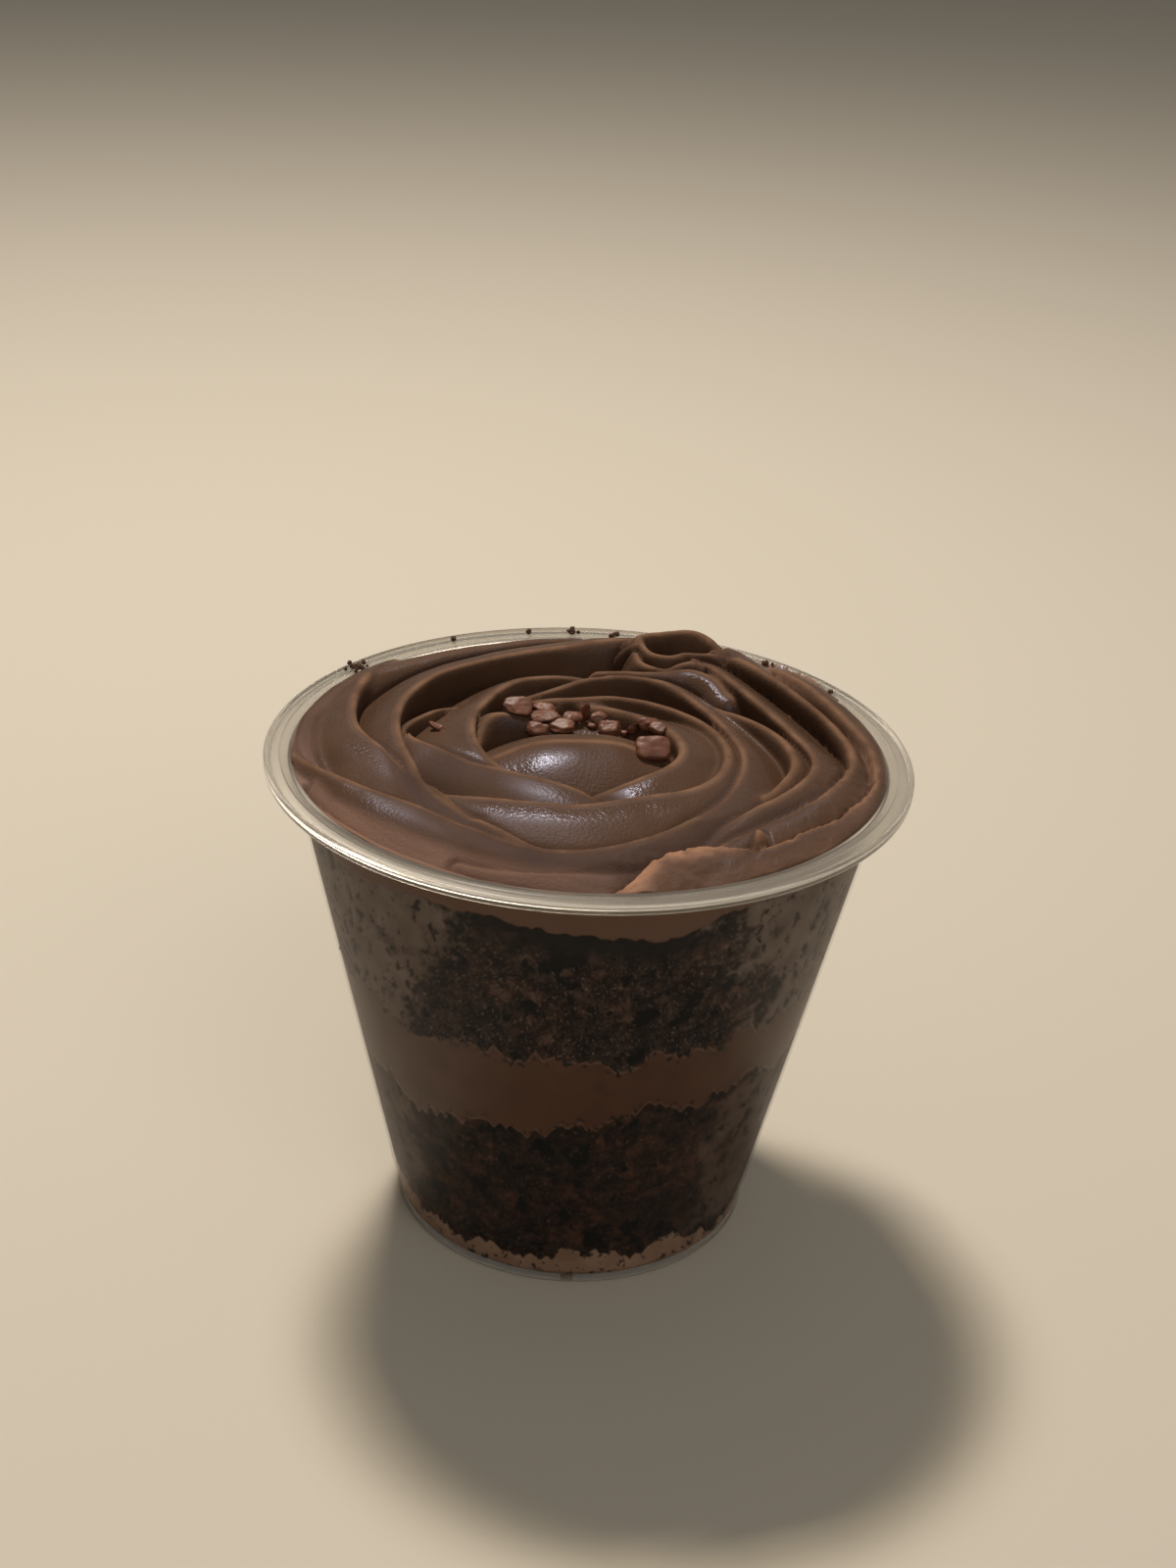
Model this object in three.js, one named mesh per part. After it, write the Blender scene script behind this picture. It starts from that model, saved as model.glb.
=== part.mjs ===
// Chocolate cake cup: a clear plastic cup with a rolled rim, filled from the bottom
// with a little cream, a cake layer, a chocolate cream filling, a second cake layer
// and a piped rose of chocolate frosting that stands a few millimetres above the rim.
// Units are millimetres, +Z is up, and the origin is on the table under the cup's axis.

import * as THREE from 'three';
import { mergeVertices } from 'three/addons/utils/BufferGeometryUtils.js';

// ---------------------------------------------------------------- cup sizes
const rimHeight = 73.3; // flat top of the rim above the table
const rimRadius = 46;
const rimThickness = 0.7;
const beadWidth = 0.9; // rolled edge outside the flat of the rim
const beadRise = 0.25;
const beadDrop = 1.2;
const wallThickness = 0.8;
const wallTopRadius = 42.6; // outside of the wall just under the rim
const wallFootRadius = 27.9; // outside of the wall just above the foot's step
const stepHeight = 6.8;
const stepRise = 0.6;
const footRadius = 26.7; // outside of the foot on the table
const footRingWidth = 2; // flat ring that stands on the table
const footRound = 0.4;
const kneeRadius = 27.2; // outside of the foot just under its step
const floorRise = 1.1; // the floor panel is raised inside the foot ring
const cupSegments = 60;

// ---------------------------------------------------------------- filling sizes
const fit = 0.3; // gap between two solids that touch
const layerSegments = 48;

// Wall heights of the seams between the layers, every 15 degrees from +X
// counter-clockwise seen from above. The back is finished like the front.
const seams = {
  baseCream: [4.2, 3.4, 4.6, 3.8, 3, 4.4, 5, 3.6, 3.2, 4.4, 4.8, 3.8, 3.4,
    4.6, 5, 3.6, 4.2, 3.2, 5.2, 3.4, 4.8, 4.2, 3, 4],
  lowerCake: [33.5, 33, 31.5, 31, 32.5, 34, 33, 31, 30, 31, 32, 31.5, 30,
    29.5, 29, 27.5, 29.5, 28.5, 31.5, 33.5, 32.5, 34, 33.5, 33.5],
  filling: [43.5, 44.5, 44, 43, 43.5, 45, 44.5, 43.5, 42.5, 43, 44.5, 45, 44.5,
    44.5, 45, 43, 42.5, 44, 43.3, 43.6, 44.3, 45, 44, 43],
  upperCake: [68, 67.5, 67, 67.5, 68.5, 68, 67, 66.5, 67, 68, 67.5, 66.5, 66.5,
    67, 66.5, 66.5, 67.3, 67.3, 66.2, 65, 68.8, 69, 68.5, 68],
};

// ---------------------------------------------------------------- frosting sizes
const frostingSegments = 96;
const frostingRings = 27;
const frostingRing = rimRadius / frostingRings;
const frostingFloor = -4.5; // bottom of the deepest folds, measured from the rim
const ridgeDrop = 3; // how far a flank has sunk at its width
const leastFlank = 3.4; // no flank is narrower, so that the facets follow it smoothly
const outsideScale = 1.12;
const crestRound = 0.3; // the top of a crest is rounded over this much
const narrowWidth = 4; // a narrow flank is almost straight, a wide one is rounded
const narrowPower = 1.4;
const wideWidth = 6.5;
const widePower = 2;
const endDrop = 0.5; // how fast a ridge sinks past its two ends, per square millimetre
const endReach = 12;
const softJoin = 1.4; // rounding between two ridges of one rope
const sharpJoin = 0.25; // rounding of the crease where two ropes meet
const lipStart = 20; // the frosting laps over the rim between these two angles
const lipEnd = 72;
const lipReach = 2.2;
const lipLift = 0.35;
const lipThickness = 0.8;

// The rope was pressed out of a star-shaped tip, so it carries sharp ridges. Each row
// is one ridge: its turn in degrees round a centre, its radius and its crest height
// above the rim at even steps along that turn, and how wide its two flanks are.
// Ridges with the same rope letter lie on one rope and have a soft hollow between them.
const ridges = [
  { rope: 'a', centre: [0, -40], turn: [72, 113], // rounded heart of the rose
    radius: [36, 36, 36.3], crest: [1.8, 3.6, 3.9, 3.4, 1],
    inside: [9, 10, 9], outside: [5, 6, 5], power: 2.4 },
  { rope: 'b', centre: [0, 0], turn: [140, 186], // small lobe left of the heart
    radius: [9, 12, 15, 15.4, 15], crest: [1.5, 2.6, 2.8, 1.5, 0],
    inside: [6, 6, 5], outside: [3, 3, 3] },
  { rope: 'c', centre: [0, 0], turn: [-94, 108], // first turn, inner ridge
    radius: [15.8, 15.7, 15.4, 14.6, 12.4, 10.3, 8.9, 8.5, 9.6, 12.9],
    crest: [0.6, 2.4, 3, 3.2, 3.2, 3.1, 3, 2.6, 1],
    inside: [4, 4, 3, 3, 3], outside: [5, 5.5, 5.5, 3.5, 3] },
  { rope: 'c', centre: [0, 0], turn: [-144, 125], // first turn, outer ridge
    radius: [25.9, 24.4, 23.6, 21.8, 22.5, 20.8, 18.3, 15.9, 14.2, 13.1, 12.8, 15.9],
    crest: [0.4, 2.4, 2.9, 3, 3, 3, 3, 3, 3, 2.4, 1],
    inside: [3.5, 3.5, 4, 4.5, 4, 3, 3, 3, 3],
    outside: [6, 7, 7.5, 5, 2.2, 2, 2.5, 3, 3] },
  { rope: 'd', centre: [0, 0], turn: [88, 272], // left side, broad inner fold
    radius: [21.3, 20.8, 18, 16.8, 17.2, 18.4, 18.2],
    crest: [1.6, 2.7, 2.9, 2.9, 2.8, 2.6, 1.6],
    inside: [2.5, 2.5, 2.5, 2.5, 3, 3, 3], outside: [3.5, 3.5, 4, 6, 7, 6, 5] },
  { rope: 'd', centre: [0, 0], turn: [179, 256], // left side, petal outside it
    radius: [25.3, 20.6, 17.6, 16.7, 17.5], crest: [1.2, 2.4, 2.4, 2.1, 1.2],
    inside: [2, 3, 5, 6], outside: [3.5, 4.5, 6, 6] },
  { rope: 'e', centre: [0, 0], turn: [-280, 128], // second turn, the longest ridge
    radius: [37.6, 32, 29.7, 29.5, 28.6, 27.2, 26.7, 27.9, 30.2, 33.4, 31.2, 27,
      24.2, 22.2, 19.9, 19.2, 20.2, 22.2, 20.6, 17.3, 17.2],
    crest: [2.2, 2.6, 2.9, 2.9, 2.8, 2.6, 2.5, 2.3, 2, 1.9, 2.1, 2.3,
      2.6, 2.8, 2.8, 2.8, 2.8, 2.8, 2.6, 2, 0.8],
    inside: [6.5, 4.5, 3, 2.6, 2.5, 2.5, 2.5, 2.5, 3, 3, 3, 3, 2.5, 2, 2, 2, 2.5,
      3.5, 3.5, 3, 3],
    outside: [5, 5, 5, 4.5, 4, 4, 4, 5, 6.5, 6, 4, 4, 4, 3.5, 3.5, 3.5, 3.5, 3.5,
      3, 3, 3] },
  { rope: 'e', centre: [0, 0], turn: [-37, 45], // second turn, ridge outside it on the right
    radius: [27.1, 28.6, 29.3, 28, 26, 23.5, 21.6, 20.7],
    crest: [0.6, 1.8, 2.4, 2.5, 2.5, 2.5, 2, 0.6],
    inside: [3, 3.5, 3.5, 3, 2.5], outside: [2, 2, 2, 2, 2] },
  { rope: 'f', centre: [0, 0], turn: [43, 88], // broad shining fold at the back
    radius: [27.6, 29.2, 28.6, 25, 24.4, 24.8], crest: [1, 2.2, 2.8, 2.6, 2.2, 1.4],
    inside: [8, 8, 7, 6], outside: [2, 2, 2, 2] },
  { rope: 'f', centre: [0, 0], turn: [-114, 62], // third turn, inner ridge
    radius: [39.2, 38.4, 33.4, 29.6, 29, 30.7, 31.6, 28.8, 27.9, 29.3, 32.6],
    crest: [0.3, 0.8, 0.9, 1.2, 1.6, 2, 2.2, 2.5, 2.6, 2.8, 2.9],
    inside: [2, 2, 2.5, 3, 3, 2.5, 2, 2, 2, 2],
    outside: [2.5, 3, 4.5, 5, 4.5, 4, 3.5, 3.5, 3.5, 3.5] },
  { rope: 'g', centre: [0, 0], turn: [-68, 60], // third turn, outer ridge
    radius: [34.2, 31.7, 31.8, 34.9, 37, 35.8, 35, 35.9, 37.3],
    crest: [0.5, 0.9, 1.2, 1.5, 1.7, 2.1, 2.5, 2.8, 3.1],
    inside: [2.5, 2.5, 3, 3.5, 3, 3, 3], outside: [7, 7, 6, 3, 2, 2.5, 6] },
  { rope: 'h', centre: [11, 32], turn: [145, 325], // curl at the rope's end, inner bend
    radius: [6.4, 5, 4.8, 6.2, 6.8, 5.4, 6], crest: [3.2, 3, 2.8, 2.6, 2.6, 2.8, 2.9],
    inside: [2.5, 2.5, 2.5], outside: [1.6, 1.6, 2, 3, 3.5] },
  { rope: 'i', centre: [12.5, 33.5], turn: [172, 350], // curl, middle bend
    radius: [5.4, 5.2, 5.4, 4.7, 3.7, 4.2, 7.4],
    crest: [3.8, 3.6, 3.4, 3.3, 3.3, 3.1, 3],
    inside: [2, 2, 2.5, 2.5], outside: [2, 2, 2, 2] },
  { rope: 'i', centre: [12.5, 31], turn: [0, 165], // curl, raised lip at the back
    radius: [8.2, 6.6, 5.4, 4.4, 4, 4.8, 6.3, 6.4],
    crest: [3, 3.6, 4.6, 4.9, 4.8, 4.4, 4, 3.6],
    inside: [2.2, 2.2, 2.2], outside: [2.5, 2.5, 2.5] },
  { rope: 'j', centre: [0, 0], turn: [-83, 58], // torn flake and the band along the rim
    radius: [41, 35.2, 34.2, 34.9, 36.4, 37.6, 37.4, 38.6, 39.3, 39.9, 40.6, 40.3,
      40, 39.6, 39.2, 39.2, 39.5, 40.2, 41.2, 42, 42.6],
    crest: [-0.3, 0.9, 1.5, 1.6, 1.2, 0.9, 0.9, 0.9, 0.9, 0.9, 1, 1.05,
      1.1, 1.2, 1.3, 1.35, 1.4, 1.4, 1.1, 0.3, -1],
    inside: [0.9, 0.9, 0.9, 1, 1.2, 1.4, 2, 2, 2],
    outside: [5, 7, 8, 7.5, 6.5, 6, 6, 6, 5, 4.5, 4] },
  { rope: 'k', centre: [0, 0], turn: [189, 286], // big fold at the front left
    radius: [42, 38.4, 34.9, 32.4, 31.7, 32.6, 33.2, 32.3, 30.4],
    crest: [-0.4, 1, 1.7, 2, 2, 2, 1.8, 1.5, 0.8], inside: [3, 3.5, 4, 4],
    outside: [1.6, 2.8, 5, 6.8, 7, 7, 6.5, 5.5, 4.5] },
  { rope: 'l', centre: [0, 0], turn: [150, 178], // small ridge over the hollow
    radius: [21.5, 23.5, 26], crest: [1.2, 1.9, 1.6],
    inside: [1.6, 1.6], outside: [2.5, 2.5] },
  { rope: 'm', centre: [0, 0], turn: [200, 268], // thin film left on the wall
    radius: [41.5, 41.5], crest: [-0.6, 0, 0, -0.4, -1.6],
    inside: [1.2, 2.5], outside: [9, 9] },
  { rope: 'n', centre: [0, 0], turn: [138, 240], // left side, inner of two outer folds
    radius: [41.5, 38, 35.2, 32.8, 29, 27.4, 27.5, 29],
    crest: [0.6, 2, 2.4, 2.4, 2.3, 2.1, 1.7],
    inside: [3.5, 3, 2.5, 3, 3, 3], outside: [3, 4, 5, 7, 8, 8] },
  { rope: 'n', centre: [0, 0], turn: [80, 200], // left side, outer of the two
    radius: [38.4, 37.6, 36.3, 36.4, 38.6, 40.2, 40.3, 39.2],
    crest: [1.4, 1.5, 1.7, 1.8, 1.6, 1.3, 1.1, 0.4],
    inside: [5, 7, 8, 8, 8], outside: [4, 4, 5, 5, 5] },
];

// ---------------------------------------------------------------- colours
const clearPlastic = { color: 0xe9e8e2, roughness: 0.12, metalness: 0, opacity: 0.3, transparent: true };
const darkCake = { color: 0x2c1f1a, roughness: 0.9, metalness: 0 };
const chocolateCream = { color: 0x43291f, roughness: 0.5, metalness: 0 };
const chocolateFrosting = { color: 0x6b4e40, roughness: 0.4, metalness: 0 };
const paleCream = { color: 0x7d6357, roughness: 0.5, metalness: 0 };

// ---------------------------------------------------------------- helpers
const degrees = THREE.MathUtils.degToRad;
const { clamp, lerp } = THREE.MathUtils;

// Value of an evenly spaced list at t from 0 to 1, on a Catmull-Rom curve, which passes
// smoothly through the entries.
function smooth(list, t, closed = false) {
  const last = list.length - 1;
  const place = closed ? t * list.length : clamp(t, 0, 1) * last;
  const index = closed ? Math.floor(place) : Math.min(Math.floor(place), last - 1);
  const entry = (i) => (closed
    ? list[THREE.MathUtils.euclideanModulo(i, list.length)]
    : list[clamp(i, 0, last)]);
  const [a, b, c, d] = [-1, 0, 1, 2].map((step) => entry(index + step));
  const f = place - index;
  return 0.5 * (2 * b + (c - a) * f + (2 * a - 5 * b + 4 * c - d) * f ** 2
    + (3 * b - a - 3 * c + d) * f ** 3);
}

// The higher of two heights, with the crease between them rounded over `width`.
function roundedMax(first, second, width) {
  const mix = clamp(0.5 + (0.5 * (second - first)) / width, 0, 1);
  return lerp(first, second, mix) + width * mix * (1 - mix);
}

// A closed solid of revolution whose rows are then moved by place(row, angle).
// The first and the last row lie on the axis.
function turnedSolid(rowCount, segments, place) {
  const rows = Array.from({ length: rowCount }, (_, row) => new THREE.Vector2(
    row === 0 || row === rowCount - 1 ? 0 : 1,
    row,
  ));
  const geometry = new THREE.LatheGeometry(rows, segments);
  const position = geometry.getAttribute('position');
  for (let i = 0; i < position.count; i += 1) {
    const angle = ((2 * Math.PI) / segments) * Math.floor(i / rowCount);
    const { radius, height } = place(i % rowCount, angle);
    position.setXYZ(i, radius * Math.cos(angle), radius * Math.sin(angle), height);
  }
  return welded(geometry);
}

function welded(geometry) {
  geometry.deleteAttribute('normal');
  geometry.deleteAttribute('uv');
  return mergeVertices(geometry);
}

function named(name, geometry, finish) {
  const mesh = new THREE.Mesh(geometry, new THREE.MeshStandardMaterial(finish));
  mesh.name = name;
  return mesh;
}

// ---------------------------------------------------------------- cup
// Outside radius of the wall: the foot, a small step, then a straight cone.
function wallRadius(height) {
  const stepFoot = stepHeight - stepRise;
  if (height < stepFoot) {
    return lerp(footRadius, kneeRadius, height / stepFoot);
  }
  if (height < stepHeight) {
    return lerp(kneeRadius, wallFootRadius, (height - stepFoot) / stepRise);
  }
  const t = (height - stepHeight) / (rimHeight - stepHeight);
  return lerp(wallFootRadius, wallTopRadius, Math.min(t, 1));
}

// The contents keep inside the wall by its thickness and the fit, doubled in the foot
// so that the straight side of the cake clears the step.
function contentRadius(height) {
  const gap = height < stepHeight ? 2 * fit : fit;
  return wallRadius(height) - wallThickness - gap;
}

function cup() {
  const flatRadius = rimRadius - beadWidth;
  const underRim = rimHeight - rimThickness;
  const stepFoot = stepHeight - stepRise;
  const innerFloor = floorRise + wallThickness;
  const outline = [
    [0, floorRise],
    [footRadius - footRingWidth - 2 * footRound, floorRise],
    [footRadius - footRingWidth - footRound, 0],
    [footRadius - footRound, 0],
    [footRadius, footRound],
    [kneeRadius, stepFoot],
    [wallFootRadius, stepHeight],
    [wallRadius(underRim), underRim],
    [flatRadius, underRim],
    [flatRadius + 0.2 * beadWidth, rimHeight - beadDrop],
    [flatRadius + 0.8 * beadWidth, rimHeight - beadDrop],
    [rimRadius, rimHeight - 0.5 * beadDrop],
    [rimRadius - 0.05, rimHeight],
    [flatRadius + 0.65 * beadWidth, rimHeight + beadRise],
    [flatRadius + 0.3 * beadWidth, rimHeight + beadRise],
    [flatRadius, rimHeight],
    [wallTopRadius - 0.5 * wallThickness, rimHeight],
    [wallTopRadius - wallThickness, rimHeight - 0.3],
    [wallFootRadius - wallThickness, stepHeight],
    [kneeRadius - wallThickness, stepFoot],
    [footRadius - wallThickness, innerFloor + 0.5],
    [footRadius - wallThickness - 0.5, innerFloor],
    [0, innerFloor],
  ].map(([radius, height]) => new THREE.Vector2(radius, height));
  const geometry = new THREE.LatheGeometry(outline, cupSegments);
  geometry.rotateX(Math.PI / 2);
  return named('cup', welded(geometry), clearPlastic);
}

// ---------------------------------------------------------------- layers
// A seam is made of flat pieces from its mean height on the axis to its wall heights,
// and the solids on both of its sides share them. `share` is 0 on the axis, 1 at the wall.
function seamPoint(seam, share, angle, offset) {
  if (share === 0) {
    return { radius: 0, height: seam.reduce((sum, value) => sum + value, 0) / seam.length + offset };
  }
  const piece = angle / ((2 * Math.PI) / layerSegments);
  const first = Math.floor(piece + 1e-6);
  const [start, end] = [first, first + 1].map((i) => smooth(seam, i / layerSegments, true));
  const height = lerp(start, end, piece - first) + offset;
  return { radius: contentRadius(height), height };
}

const under = (seam) => (share, angle) => seamPoint(seam, share, angle, -fit / 2);
const over = (seam) => (share, angle) => seamPoint(seam, share, angle, fit / 2);

// A layer from the axis to the wall, between a lower and an upper surface.
function layer(name, lower, upper, finish) {
  const solid = turnedSolid(4, layerSegments, (row, angle) => (
    row < 2 ? lower(row, angle) : upper(3 - row, angle)
  ));
  return named(name, solid, finish);
}

function layers() {
  const floorRadius = footRadius - 2 * wallThickness - fit;
  const cupFloor = (share) => ({
    radius: share * floorRadius,
    height: floorRise + wallThickness + fit,
  });
  return [
    layer('base_cream', cupFloor, under(seams.baseCream), paleCream),
    layer('lower_cake', over(seams.baseCream), under(seams.lowerCake), darkCake),
    layer('cream_filling', over(seams.lowerCake), under(seams.filling), chocolateCream),
    layer('upper_cake', over(seams.filling), under(seams.upperCake), darkCake),
  ];
}

// ---------------------------------------------------------------- frosting
function ridgeHeight(ridge, x, y) {
  const [centreX, centreY] = ridge.centre;
  const [start, end] = ridge.turn.map(degrees);
  const radius = Math.hypot(x - centreX, y - centreY);
  const angle = Math.atan2(y - centreY, x - centreX);
  let best = -Infinity;
  for (const wrap of [-1, 0, 1]) {
    const t = (angle + 2 * Math.PI * wrap - start) / (end - start);
    const along = clamp(t, 0, 1);
    const pastEnd = Math.abs(t - along) * (end - start) * Math.max(radius, 1);
    if (pastEnd < endReach) {
      const crestRadius = smooth(ridge.radius, along);
      const step = 0.001;
      const growth = (smooth(ridge.radius, clamp(along + step, 0, 1))
        - smooth(ridge.radius, clamp(along - step, 0, 1))) / (2 * step * (end - start));
      const offset = (radius - crestRadius) / Math.hypot(1, growth / crestRadius);
      const flank = offset < 0
        ? smooth(ridge.inside, along)
        : outsideScale * smooth(ridge.outside, along);
      const width = Math.max(flank, leastFlank);
      const away = Math.hypot(offset, crestRound) - crestRound;
      const roundness = clamp((width - narrowWidth) / (wideWidth - narrowWidth), 0, 1);
      const power = ridge.power ?? lerp(narrowPower, widePower, roundness);
      const sunk = ridgeDrop * (away / width) ** power + endDrop * pastEnd ** 2;
      best = Math.max(best, smooth(ridge.crest, along) - sunk);
    }
  }
  return best;
}

// Height of the frosting above the rim: the highest ridge at each place.
function roseHeight(x, y) {
  const ropes = new Map();
  for (const ridge of ridges) {
    const height = ridgeHeight(ridge, x, y);
    if (height > -Infinity) {
      const other = ropes.get(ridge.rope);
      ropes.set(ridge.rope, other === undefined ? height : roundedMax(other, height, softJoin));
    }
  }
  return [...ropes.values()].reduce(
    (height, rope) => roundedMax(height, rope, sharpJoin),
    frostingFloor,
  );
}

// The same, averaged over a patch of the grid's size so that no crease turns into spikes.
function patchHeight(radius, angle) {
  const samples = [-1, 0, 1].flatMap((out) => [-1, 0, 1].map((round) => {
    const r = radius + (out * frostingRing) / 3;
    const a = angle + (round * 2 * Math.PI) / frostingSegments / 3;
    return roseHeight(r * Math.cos(a), r * Math.sin(a));
  }));
  return rimHeight + samples.reduce((sum, value) => sum + value, 0) / samples.length;
}

// How far the frosting laps outwards over the rim: a smooth hump between two angles.
function lapOverRim(angle) {
  const t = (THREE.MathUtils.radToDeg(angle) - lipStart) / (lipEnd - lipStart);
  return t > 0 && t < 1 ? lipReach * Math.sin(Math.PI * t) ** 2 : 0;
}

function topFrosting() {
  const seam = over(seams.upperCake);
  const collar = 2; // row on the wall just under the edge
  const rowCount = collar + 3 + frostingRings + 1;
  const wallRim = contentRadius(rimHeight);
  const solid = turnedSolid(rowCount, frostingSegments, (row, angle) => {
    if (row < collar) {
      return seam(row, angle);
    }
    const lap = lapOverRim(angle);
    const height = (radius) => patchHeight(radius, angle);
    const wallEdge = Math.min(height(wallRim), rimHeight);
    const edge = lap > 0 ? wallRim + lap : contentRadius(wallEdge - lipThickness);
    const edgeHeight = Math.max(height(edge), lap > 0 ? rimHeight + 2 * lipLift : 0);
    const lowEdge = lap > 0 ? rimHeight + lipLift : edgeHeight - lipLift;
    if (row === collar) {
      const collarHeight = wallEdge - lipThickness;
      return { radius: contentRadius(collarHeight), height: collarHeight };
    }
    if (row === collar + 1) {
      return { radius: Math.min(edge, wallRim), height: lowEdge - 0.1 };
    }
    if (row === collar + 2) {
      return { radius: edge, height: lowEdge };
    }
    const ring = row - collar - 3;
    if (ring === frostingRings) {
      return { radius: 0, height: patchHeight(0, 0) };
    }
    const radius = edge * (1 - ring / frostingRings);
    return { radius, height: ring === 0 ? edgeHeight : height(radius) };
  });
  return named('top_frosting', solid, chocolateFrosting);
}

// ---------------------------------------------------------------- the whole
const group = new THREE.Group();
group.add(cup(), ...layers(), topFrosting());

export default group;
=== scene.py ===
# %% [markdown]
# # Chocolate cake cup
# A clear plastic cup holds chocolate cake and chocolate cream in layers, and a piped
# rose of chocolate frosting stands above its rim. The exact model gives the sizes, and
# this notebook builds the fine surfaces, the materials and the light around it.

import math

import bpy
import numpy as np
from mathutils import Matrix, Vector, noise


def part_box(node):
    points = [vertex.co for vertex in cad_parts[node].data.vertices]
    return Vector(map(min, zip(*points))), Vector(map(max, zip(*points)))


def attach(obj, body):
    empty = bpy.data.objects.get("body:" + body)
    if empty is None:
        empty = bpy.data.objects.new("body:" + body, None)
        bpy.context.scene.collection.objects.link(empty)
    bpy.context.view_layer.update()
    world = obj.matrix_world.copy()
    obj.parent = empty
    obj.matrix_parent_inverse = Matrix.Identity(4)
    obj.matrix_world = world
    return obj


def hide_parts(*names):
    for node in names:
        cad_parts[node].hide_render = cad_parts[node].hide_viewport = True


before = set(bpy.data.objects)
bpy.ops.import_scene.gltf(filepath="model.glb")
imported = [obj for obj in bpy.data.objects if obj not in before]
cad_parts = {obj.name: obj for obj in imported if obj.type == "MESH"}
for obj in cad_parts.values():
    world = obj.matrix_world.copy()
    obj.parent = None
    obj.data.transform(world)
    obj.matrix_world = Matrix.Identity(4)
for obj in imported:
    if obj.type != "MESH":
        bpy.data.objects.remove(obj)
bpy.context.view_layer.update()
cup_low, cup_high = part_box("cup")
print("nodes:", sorted(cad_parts))
print("cup from", [round(v, 4) for v in cup_low], "to", [round(v, 4) for v in cup_high])

# %% [markdown]
# ## Sizes
# Lengths in this notebook are millimetres until a mesh is made. The flat of the rim
# lies a little under the top of the cup's box, because its rolled edge stands up.

# %% Sizes taken from the cup
MM = 0.001
RIM_RADIUS = cup_high[0] / MM
BEAD_RISE = 0.25
RIM = cup_high[2] / MM - BEAD_RISE
WALL = 0.8
WALL_TOP = 42.6
WALL_FOOT = 27.9
STEP_HEIGHT = 6.8
STEP_RISE = 0.6
FOOT_RADIUS = 26.7
KNEE_RADIUS = 27.2
FLOOR_RISE = 1.1
SINK = 0.35  # how far the contents reach into the wall, so that no air shows between
print("rim", round(RIM, 2), "mm high and", round(RIM_RADIUS, 2), "mm in radius")


def inner_wall(z):
    """Inside radius of the cup at height z."""
    cone = np.interp(z, [STEP_HEIGHT, RIM], [WALL_FOOT - WALL, WALL_TOP - WALL])
    foot = np.interp(z, [0, STEP_HEIGHT - STEP_RISE], [FOOT_RADIUS - WALL, KNEE_RADIUS - WALL])
    step = np.clip((z - STEP_HEIGHT + STEP_RISE) / STEP_RISE, 0, 1)
    return foot * (1 - step) + cone * step


# %% [markdown]
# ## Small helpers
# A mesh is made from arrays, and a shader graph is made one node at a time with its
# settings and links.

# %% Meshes from arrays
def make_mesh(name, points_mm, faces, material, smooth=True, values=None):
    """A mesh object from points in millimetres, with optional named point values."""
    mesh = bpy.data.meshes.new(name)
    mesh.from_pydata((np.asarray(points_mm) * MM).tolist(), [], faces)
    for key, value in (values or {}).items():
        layer = mesh.attributes.new(key, "FLOAT", "POINT")
        layer.data.foreach_set("value", np.asarray(value, dtype=np.float32).ravel())
    mesh.polygons.foreach_set("use_smooth", [smooth] * len(mesh.polygons))
    mesh.materials.append(material)
    obj = bpy.data.objects.new(name, mesh)
    bpy.context.scene.collection.objects.link(obj)
    print(f"{name}: {len(mesh.vertices)} points, {len(mesh.polygons)} faces")
    return obj


def rings_to_solid(rings, first, last):
    """Points and faces of a closed body from rings of points, counter-clockwise seen from
    above and listed from the bottom up, between two end points on the axis."""
    rings = np.asarray(rings)
    count, turns = rings.shape[:2]
    points = np.concatenate([rings.reshape(-1, 3), [first, last]])
    index = np.arange(count * turns).reshape(count, turns)
    after = np.roll(index, -1, axis=1)
    quads = np.stack([index[:-1], after[:-1], after[1:], index[1:]], -1)
    faces = quads.reshape(-1, 4).tolist()
    foot, tip = index.size, index.size + 1
    faces += [[foot, int(b), int(a)] for a, b in zip(index[0], after[0])]
    faces += [[tip, int(a), int(b)] for a, b in zip(index[-1], after[-1])]
    return points, faces


def polar(radius, angle, z):
    """Points from radius, angle and height arrays."""
    radius, angle, z = np.broadcast_arrays(radius, angle, z)
    return np.stack([radius * np.cos(angle), radius * np.sin(angle), z], -1)


def bumps(points_mm, size, octaves=1, seed=0):
    """Smooth noise of about -1 to 1 at points in millimetres, one bump about `size` across."""
    shape = points_mm.shape[:-1]
    flat = points_mm.reshape(-1, 3) / size + seed * 17.3
    value = [noise.fractal(p, 0.8, 2.0, octaves) for p in flat.tolist()]
    return np.array(value).reshape(shape)


# %% Shader graphs one node at a time
def linear(code):
    """A hex colour as linear RGBA, the way shader sockets read it."""
    parts = [int(code[i : i + 2], 16) / 255 for i in (1, 3, 5)]
    return [c / 12.92 if c <= 0.04045 else ((c + 0.055) / 1.055) ** 2.4 for c in parts] + [1]


def new_material(name):
    """An empty material and its output node."""
    material = bpy.data.materials.new(name)
    material.use_nodes = True
    tree = material.node_tree
    tree.nodes.clear()
    return material, tree, tree.nodes.new("ShaderNodeOutputMaterial")


def add(tree, kind, links=None, inputs=None, **settings):
    """Adds a node, sets it up, fills inputs and connects links to its inputs."""
    node = tree.nodes.new(kind)
    for key, value in settings.items():
        setattr(node, key, value)
    for key, value in (inputs or {}).items():
        node.inputs[key].default_value = value
    for key, socket in (links or {}).items():
        tree.links.new(socket, node.inputs[key])
    return node


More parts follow.
